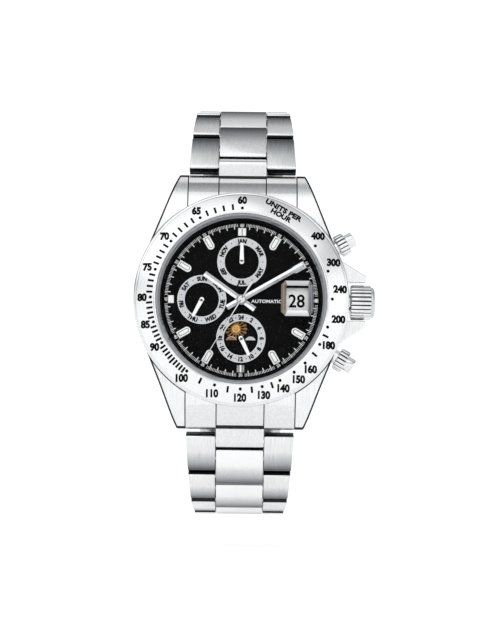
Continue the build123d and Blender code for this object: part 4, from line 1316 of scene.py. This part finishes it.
@dataclass
class Bracelet:
    """Crowned link plates with rounded, polished ends, each row riding on its own body.

    A plate is drawn by its side view: s along the bracelet from the row's pivot, h up from it.
    """

    joints: Sequence[dict]
    rows: int = 7
    pitch: float = 7.3
    knuckle: float = 1.35
    gap: float = 0.15
    heel: float = 1.02
    centre_half: float = 4.35
    side_gap: float = 0.10
    width_start: float = 19.8
    width_taper: float = 0.95
    width_end: float = 16.0
    crown: float = 0.16
    band: float = 0.34
    drop: float = 0.34
    edge: float = 0.16
    # Place of the plates' undersides in the painted sheen.
    underside_sheen_place: float = 0.3
    pin_radii: tuple[float, float] = (0.5, 0.45)
    taper_from: float = -2.0
    taper_run: float = 8.6

    def half_width(self, row: int) -> float:
        """Find half the bracelet's width where a row starts.

        Args:
            row: counted from the watch, from zero.

        Returns:
            Half the width, in mm.
        """
        return max(self.width_start - self.width_taper * row, self.width_end) / 2

    def top(self, start: float, end: float, count: int = 15) -> Array:
        """Draw the plate's upper line from its far end to its near one.

        h(s) = R - c (2 (s - m) / L)^2, with m the middle and L the length, then a rounded fall to
        R - c - d in the last band at either end.

        Args:
            start: s of the near end.
            end: s of the far end.
            count: points between the bands.

        Returns:
            Rows of s and h.
        """
        inside = np.linspace(end - self.band, start + self.band, count)
        share = (2 * inside - start - end) / (end - start)
        body = np.column_stack([inside, self.knuckle - self.crown * share ** 2])
        turn = np.linspace(0, pi / 2, 6)[:-1]
        far = np.column_stack([end - self.band + self.band * np.cos(turn),
                               body[0, 1] - self.drop * (1 - np.sin(turn))])
        near = np.column_stack([start + self.band - self.band * np.cos(turn), body[-1, 1]
                                - self.drop * (1 - np.sin(turn))])[::-1]
        return np.concatenate([far, body, near])

    def centre_section(self) -> Array:
        """Draw a centre plate: flat start, round knuckle about the next pivot.

        Returns:
            Rows of s and h, counter-clockwise.
        """
        start, radius = self.knuckle + self.gap, self.knuckle
        turn = np.linspace(-pi / 2, 0.0, 8)
        knuckle = np.column_stack([self.pitch + radius * np.cos(turn), radius * np.sin(turn)])
        upper = self.top(start, self.pitch + radius - 0.02)
        return np.concatenate([[(start, -radius)], knuckle, upper])

    def side_section(self) -> Array:
        """Draw a side plate: round knuckle with a square heel at the start, flat far end.

        Returns:
            Rows of s and h, counter-clockwise.
        """
        end, radius = self.pitch - self.knuckle - self.gap, self.knuckle
        low = -(radius ** 2 - self.heel ** 2) ** 0.5
        upper = self.top(-radius + 0.02, end)
        return np.concatenate([[(-self.heel, -radius), (end, -radius)], upper,
                               [(-radius * 0.985, -0.2), (-self.heel, low)]])

    def across(self, section: Array, inner: float, outer_near: float, outer_far: float) -> Surface:
        """Stretch a side view across the bracelet, with rounded long edges.

        Near a side, at the distance e (1 - u) from it, the side view is drawn in by
        e (1 - sqrt(1 - u^2)), with u from 1 at the side to 0 at distance e.  Faces under the end bevels and
        the inner side look into a gap and get painted shade; the underside and the outer side are polished.

        Args:
            section: side view, counter-clockwise in s and h.
            inner: position of the inner side.
            outer_near: position of the outer side where the taper starts.
            outer_far: position of the outer side where the taper ends.

        Returns:
            The closed plate in the row's own frame: s, h and position across.
        """
        u = np.array([1.0, 0.7, 0.35, 0.0])
        distance = self.edge * (1 - u)
        inset = self.edge * (1 - np.sqrt(1 - u ** 2))
        count, stations = len(section), 2 * len(u)
        rings = []
        for number, amount in enumerate([*inset, *inset[::-1]]):
            ring = inset_outline(section, amount)
            share = (ring[:, 0] - self.taper_from) / self.taper_run
            reach = outer_near + (outer_far - outer_near) * share
            place = inner + distance[number] if number < len(u) else reach - distance[stations - 1 - number]
            rings.append(np.column_stack([ring, np.broadcast_to(place, count)]))
        wall = Surface.grid(np.array(rings))
        last = (stations - 1) * count
        caps = [tuple(range(count - 1, -1, -1)), tuple(range(last, last + count))]
        middle = wall.points.reshape(stations, count, 3)[:, :, 1]
        lower = np.minimum(middle, np.roll(middle, -1, 1))[:-1]
        higher = np.maximum(middle, np.roll(middle, -1, 1))[:-1]
        bevel_foot = self.knuckle - self.crown - self.drop
        number = np.where(lower > bevel_foot - 0.06, BEVEL, PAINTED_GAP_SHADE)
        number = np.where(lower > self.knuckle - self.crown - 0.1, BRUSHED_TOP, number)
        number = np.where(higher < 0.3 - self.knuckle, BEVEL, number)
        # Each point's place in the painted sheen: along the plate on the upper half, a fixed place
        # underneath.
        s, h = wall.points[:, 0], wall.points[:, 1]
        along = np.where(h > 0, (s - s.min()) / np.ptp(s), self.underside_sheen_place)
        numbers = np.concatenate([number.ravel(), [PAINTED_GAP_SHADE, BEVEL]])
        return Surface(wall.points, wall.faces + caps, numbers, along)

    def laid(self, made: Surface, side: int, pivot: Array, tilt: float) -> Surface:
        """Put a row from its own frame to the watch frame.

        Args:
            made: the row's surface, in s, h and position across.
            side: 1 for the 12 o'clock half, -1 for the other.
            pivot: the row's pivot, as distance from the dial's axis and z.
            tilt: how far the row leans down, in radians.

        Returns:
            The row in its place.
        """
        s, h, across = made.points.T
        sine, cosine = sin(tilt), cos(tilt)
        y = pivot[0] + s * cosine + h * sine
        z = pivot[1] - s * sine + h * cosine
        return Surface(np.column_stack([across, side * y, z]), made.faces, made.finish, made.along)

    def pivots(self, hour: str, side: int) -> tuple[Array, Array]:
        """Find the rows' pivots and tilts from the joints; the last row turns on by the same step.

        Args:
            hour: "12" or "6".
            side: 1 for the 12 o'clock half, -1 for the other.

        Returns:
            Pivots, as distance from the dial's axis and z in mm, and tilts in radians.
        """
        places = {joint["name"]: joint["pos_m"] for joint in self.joints if "pos_m" in joint}
        world = np.array([places[f"link_{hour}_{row + 1}_fold"] for row in range(self.rows)]) / MM
        points = np.column_stack([side * world[:, 2], -world[:, 1]])
        steps = np.diff(points, axis=0)
        tilts = np.unwrap(np.arctan2(-steps[:, 1], steps[:, 0]))
        return points, np.append(tilts, 2 * tilts[-1] - tilts[-2])

    def row(self, row: int) -> Surface:
        """Make one row in its own frame: centre plate, two side plates and two pins.

        Args:
            row: counted from the watch, from zero.

        Returns:
            The row.
        """
        near, far = self.half_width(row), self.half_width(row + 1)
        side = self.across(self.side_section(), self.centre_half + self.side_gap, near, far)
        centre = self.across(self.centre_section(), -self.centre_half, self.centre_half, self.centre_half)
        centre.finish[centre.finish == BRUSHED_TOP] = POLISHED_TOP
        # The centre plate's outer side faces a gap and gets painted shade.
        centre.finish[-1] = PAINTED_GAP_SHADE
        parts = [side, side.moved(lambda points: points * np.array([1, 1, -1])), centre]
        for radius, place in zip(self.pin_radii, (0.0, self.pitch / 2)):
            half = near + (far - near) * (place - self.taper_from) / self.taper_run
            pin = plate(disc_outline(radius, place, 0.0, 20), ((0, -half), (0, half)))
            parts.append(pin.painted(BEVEL))
        return joined(parts)

    def build(self) -> None:
        """Make all rows on both sides."""
        for hour, side in (("12", 1), ("6", -1)):
            points, tilts = self.pivots(hour, side)
            for row in range(self.rows):
                name = f"link_{hour}_{row + 1}"
                made = self.laid(self.row(row), side, points[row], float(tilts[row]))
                made.piece(f"{name}_plates", (BRUSHED_PLATE, POLISHED, PAINTED_SHADE_STEEL, POLISHED_PLATE), name,
                           "bracelet_steel", (name,), 30)


@dataclass
class PaintedSeamShade:
    """Narrow strips of painted shade along the lugs, round the bezel and beside the end links."""

    lug_half: float = 10.0
    centre_half: float = 4.35
    tip_y: float = 23.4
    shoulder_y: float = 14.5
    bezel_radius: float = 19.6
    tip_height: float = 4.3
    width: float = 0.2
    edge_width: float = 0.3
    tip_width: float = 0.42
    gap_width: float = 0.5
    rise: float = 0.02
    depth: float = 0.1
    flank: tuple[tuple[float, float], ...] = ((0.0, 19.2), (9.6, 17.05), (17.0, 14.1), (23.4, 11.5))
    top: float = field(init=False)

    def __post_init__(self) -> None:
        """Take the height of the case's flat top, where the bezel sits, from the CAD."""
        self.top = behind("bezel")

    def height(self, y: Array) -> Array:
        """Find the lugs' upper side: flat, then z = c + sqrt(r^2 - (|y| - s)^2), an arc to the tip.

        Args:
            y: places along the lugs.

        Returns:
            Their heights.
        """
        run, fall = self.tip_y - self.shoulder_y, self.top - self.tip_height
        radius = (run ** 2 + fall ** 2) / (2 * fall)
        past = np.clip(np.abs(y) - self.shoulder_y, 0, run)
        return self.top - radius + np.sqrt(radius ** 2 - past ** 2)

    def ribbon(self, x: Array, y: Array, width: float) -> Surface:
        """Lay a thin strip along a line on the lugs' upper side.

        Args:
            x: the line's points towards 3 o'clock.
            y: the line's points towards 12 o'clock.
            width: of the strip, in mm.

        Returns:
            The closed strip, a little proud of the metal.
        """
        step = np.gradient(np.column_stack([x, y]), axis=0)
        step /= np.linalg.norm(step, axis=1, keepdims=True)
        left = np.column_stack([x - step[:, 1] * width / 2, y + step[:, 0] * width / 2])
        right = np.column_stack([x + step[:, 1] * width / 2, y - step[:, 0] * width / 2])
        corners = [np.column_stack([line, self.height(line[:, 1]) + lift])
                   for line, lift in ((left, self.rise), (right, self.rise),
                                      (right, -self.depth), (left, -self.depth))]
        wall = Surface.grid(np.stack(corners, 1), around=True)
        count = len(x)
        caps = [(0, 1, 2, 3), tuple(4 * (count - 1) + corner for corner in (3, 2, 1, 0))]
        return Surface(wall.points, wall.faces + caps, np.zeros(len(wall.faces) + 2, int))

    def build(self) -> None:
        """Make every strip of painted shade on the head.

        The case's half width is x(y) = a + b y^2 + c y^4 + d y^6, through the four points of the flank.
        """
        parts = []
        degrees = np.array([0, 2, 4, 6])
        places, halves = np.array(self.flank).T
        factors = np.linalg.solve(places[:, None] ** degrees, halves)
        rim = self.bezel_radius + 0.06
        for side in (1, -1):
            for half in (self.lug_half, -self.lug_half, self.centre_half, -self.centre_half):
                start = (self.bezel_radius ** 2 - half ** 2) ** 0.5 - 0.3
                y = np.linspace(start, self.tip_y - 0.05, 24) * side
                parts.append(self.ribbon(np.full(24, half), y, self.width))
            for edge in (1, -1):
                y = np.linspace(9.8, self.tip_y - 0.1, 40) * side
                x = edge * ((y[:, None] ** degrees) @ factors - 0.14)
                parts.append(self.ribbon(x, y, self.edge_width))
                ends = np.linspace(self.lug_half, 11.4, 8) * edge
                parts.append(self.ribbon(ends, np.full(8, side * (self.tip_y - 0.22)), self.tip_width))
                turn = np.linspace(radians(30), radians(56), 24) * edge
                parts.append(self.ribbon(rim * np.sin(turn), side * rim * np.cos(turn), self.width))
            gap = np.linspace(-self.centre_half, self.centre_half, 12)
            parts.append(self.ribbon(gap, np.full(12, side * (self.tip_y - 0.3)), self.gap_width))
        # Every strip is steel painted dark as shade.
        joined(parts).piece("case_painted_seam_shade", (PAINTED_SHADE_STEEL,), "head", "case_steel")


# ================================================================ nodes kept from the CAD
@dataclass
class KeptNodes:
    """CAD nodes that already have their true shape; each gets its finishes by face."""

    nodes: dict[str, bpy.types.Object]
    centre_half: float = 4.36
    flange_shadow_radius: float = 14.72
    wall_lean: float = 0.35
    side_lean: float = 0.8

    def dress(self, name: str, finishes: Sequence[Finish],
              choose: Optional[Callable[[Array, Array], Array]] = None) -> None:
        """Give a node its finishes.

        Args:
            name: the node.
            finishes: finishes in order.
            choose: function of the faces' middles, in mm, and normals, both in the watch frame, that
                gives each face's finish number.
        """
        mesh = self.nodes[name].data
        mesh.materials.clear()
        for finish in finishes:
            mesh.materials.append(finish.material())
        if choose is not None:
            count = len(mesh.polygons)
            middle, normal = np.empty(count * 3), np.empty(count * 3)
            mesh.polygons.foreach_get("center", middle)
            mesh.polygons.foreach_get("normal", normal)
            middle, normal = middle.reshape(-1, 3) / MM, normal.reshape(-1, 3)
            order, sign = [0, 2, 1], np.array([1, 1, -1])
            numbers = choose(middle[:, order] * sign, normal[:, order] * sign)
            mesh.polygons.foreach_set("material_index", np.asarray(numbers, np.int32))
        LOG.info("%s: kept from the CAD", name)

    def build(self) -> None:
        """Dress every kept node: brushed tops, polished walls, and so on."""
        for name in ("crown_guards", "case_middle"):
            self.dress(name, (BRUSHED_LUGS, POLISHED), lambda middle, normal: normal[:, 2] < self.wall_lean)
        for name in ("end_link_12", "end_link_6"):
            self.dress(name, (BRUSHED_LUGS, POLISHED),
                       lambda middle, normal: np.abs(middle[:, 0]) < self.centre_half)
        # The flange's inner band is painted black as the shadow at the dial's edge; the outer part is
        # fine-turned grey.
        self.dress("inner_flange", (FLANGE_PAINTED_SHADOW, FLANGE_GREY),
                   lambda middle, normal: np.hypot(middle[:, 0], middle[:, 1]) > self.flange_shadow_radius)
        for name, finish in (("dial", DIAL_LACQUER), ("date_ring", DATE_PAPER), ("crystal", SAPPHIRE),
                             ("crystal_gasket", GREY_NYLON), ("case_back_gasket", RUBBER),
                             ("case_back", BACK_STEEL)):
            self.dress(name, (finish,))
        for name in ("clasp_cover", "clasp_long_blade", "clasp_short_blade"):
            self.dress(name, (CLASP_STEEL, POLISHED),
                       lambda middle, normal: np.abs(normal[:, 0]) > self.side_lean)
        for name in ("crown_tube", "pusher_tubes", "spring_bars", "winding_stem", "setting_lever"):
            self.dress(name, (POLISHED,))
        for name in ("main_plate", "train_bridge", "movement_ring", "rotor"):
            self.dress(name, (NICKEL,))
        for name in ("centre_wheel", "third_wheel", "fourth_wheel", "escape_wheel", "mainspring_barrel",
                     "balance_wheel", "pallet_fork"):
            self.dress(name, (BRASS, POLISHED), lambda middle, normal: middle[:, 2] > front("dial"))


# ================================================================ studio
@dataclass
class Studio:
    """Camera, lights, pale floor and bright surroundings."""

    view_angle: float = 16.7
    distance: float = 0.380
    aim: tuple[float, float] = (0.69, -1.99)
    tilt: float = 5.7
    roll: float = 0.66
    sky_strength: float = 1.14
    floor_gap: float = 6.0
    floor_half: float = 3.0
    floor_shade: str = "#f2f2f2"
    floor_glow: float = 0.42
    lamps: tuple[tuple[str, tuple[float, float, float], float, float], ...] = (
        ("key_box", (-0.35, -0.5, 0.45), 0.9, 1.0), ("fill_box", (0.45, -0.5, 0.1), 0.7, 0.4))
    over_stops: Stops = ((0.0, "#ffffff"), (0.24, "#fbfbfb"), (0.42, "#a4a6a8"), (0.47, "#8a8c8e"),
                         (0.49, "#f4f4f4"), (0.62, "#d4d4d4"), (0.74, "#86888a"), (0.85, "#ffffff"))
    clock_stops: Stops = ((0.0, "#ffffff"), (0.26, "#ffffff"), (0.29, "#a0a2a4"), (0.32, "#ffffff"),
                          (0.62, "#ffffff"), (0.66, "#8a8c8e"), (0.69, "#f0f0f0"), (0.80, "#ffffff"),
                          (0.83, "#8a8c8e"), (0.86, "#ffffff"))

    def camera(self) -> None:
        """Look along +Y from a little below the watch's middle, rolled slightly clockwise."""
        data = bpy.data.cameras.new("camera")
        data.sensor_width = 36.0
        data.lens = 18.0 / tan(radians(self.view_angle / 2))
        data.clip_start, data.clip_end = 0.01, 20.0
        camera = bpy.data.objects.new("camera", data)
        bpy.context.scene.collection.objects.link(camera)
        target = Vector((self.aim[0] * MM, -front("bezel") * MM, self.aim[1] * MM))
        back = Vector((0, -cos(radians(self.tilt)), -sin(radians(self.tilt))))
        turn = (-back).to_track_quat("-Z", "Y").to_matrix().to_4x4()
        spin = Matrix.Rotation(radians(self.roll), 4, "Z")
        camera.matrix_world = Matrix.Translation(target + back * self.distance) @ turn @ spin
        bpy.context.scene.camera = camera

    def lamp(self, name: str, place: tuple[float, float, float], size: float, power: float) -> None:
        """Add a square soft light that faces the watch.

        Args:
            name: the light's name.
            place: its middle, in metres.
            size: side, in metres.
            power: in watts.
        """
        data = bpy.data.lights.new(name, "AREA")
        data.size, data.energy = size, power
        lamp = bpy.data.objects.new(name, data)
        bpy.context.scene.collection.objects.link(lamp)
        lamp.location = place
        lamp.rotation_mode = "QUATERNION"
        lamp.rotation_quaternion = (-Vector(place)).to_track_quat("-Z", "Y")

    def floor(self) -> None:
        """Lay a wide pale floor a little under the bracelet, slightly lit from within."""
        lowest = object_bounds()[0].z - self.floor_gap * MM
        corners = box_outline(2 * self.floor_half, -self.floor_half, self.floor_half)
        mesh = bpy.data.meshes.new("floor")
        mesh.from_pydata(np.column_stack([corners, np.full(4, lowest)]).tolist(), [], [(0, 1, 2, 3)])
        material = bpy.data.materials.new("pale_floor_card")
        material.use_nodes = True
        shader = material.node_tree.nodes["Principled BSDF"]
        shader.inputs["Base Color"].default_value = linear(self.floor_shade)
        shader.inputs["Roughness"].default_value = 0.9
        shader.inputs["Specular IOR Level"].default_value = 0.0
        shader.inputs["Emission Color"].default_value = linear("#ffffff")
        shader.inputs["Emission Strength"].default_value = self.floor_glow
        mesh.materials.append(material)
        floor = bpy.data.objects.new("floor", mesh)
        bpy.context.scene.collection.objects.link(floor)
        floor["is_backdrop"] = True

    def surroundings(self) -> None:
        """Put white all round, with grey flags overhead and at the sides that steel can reflect.

        The colour is a product of two: one goes by the angle from the front over the top to the back, the
        other by the clock direction round the dial's axis.  Straight behind the watch it is white.
        """
        world = bpy.data.worlds.new("studio")
        bpy.context.scene.world = world
        world.use_nodes = True
        tree = world.node_tree
        direction = add_node(tree, "ShaderNodeTexCoord").outputs["Generated"]
        parts = add_node(tree, "ShaderNodeSeparateXYZ", inputs={0: direction}).outputs
        forward = add_node(tree, "ShaderNodeMath", {"operation": "MULTIPLY"},
                           {0: parts["Y"], 1: -1.0}).outputs[0]
        over = add_node(tree, "ShaderNodeMath", {"operation": "ARCTAN2"},
                        {0: parts["Z"], 1: forward}).outputs[0]
        round_dial = add_node(tree, "ShaderNodeMath", {"operation": "ARCTAN2"},
                              {0: parts["X"], 1: parts["Z"]}).outputs[0]
        colours = []
        for angle, low, high, stops in ((over, 0.0, pi, self.over_stops),
                                        (round_dial, -pi, pi, self.clock_stops)):
            share = add_node(tree, "ShaderNodeMapRange", inputs={
                "Value": angle, "From Min": low, "From Max": high}).outputs["Result"]
            colours.append(add_node(tree, "ShaderNodeValToRGB", inputs={"Fac": share},
                                    stops=stops).outputs["Color"])
        both = add_node(tree, "ShaderNodeVectorMath", {"operation": "MULTIPLY"},
                        {0: colours[0], 1: colours[1]}).outputs[0]
        rear = add_node(tree, "ShaderNodeMapRange", inputs={
            "Value": parts["Y"], "From Min": 0.6, "From Max": 0.9}).outputs["Result"]
        whole = add_node(tree, "ShaderNodeVectorMath", {"operation": "MAXIMUM"},
                         {0: both, 1: rear}).outputs[0]
        tree.links.new(whole, tree.nodes["Background"].inputs["Color"])
        tree.nodes["Background"].inputs["Strength"].default_value = self.sky_strength

    def build(self) -> None:
        """Set up the whole studio."""
        bpy.context.scene.view_settings.view_transform = "Standard"
        self.camera()
        self.floor()
        self.surroundings()
        for name, place, size, power in self.lamps:
            self.lamp(name, place, size, power)


def main() -> None:
    """Build the watch on the frame, piece by piece."""
    logging.basicConfig(level=logging.INFO, format="%(message)s")
    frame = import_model()
    KeptNodes(frame["nodes"]).build()
    Bracelet(frame["joints"]).build()
    PaintedSeamShade().build()
    DialWork().build()
    SkyDisc().build()
    DateRing().build()
    Hands().build()
    Bezel().build()
    Controls().build()
    Studio().build()


if __name__ == "__main__":
    main()
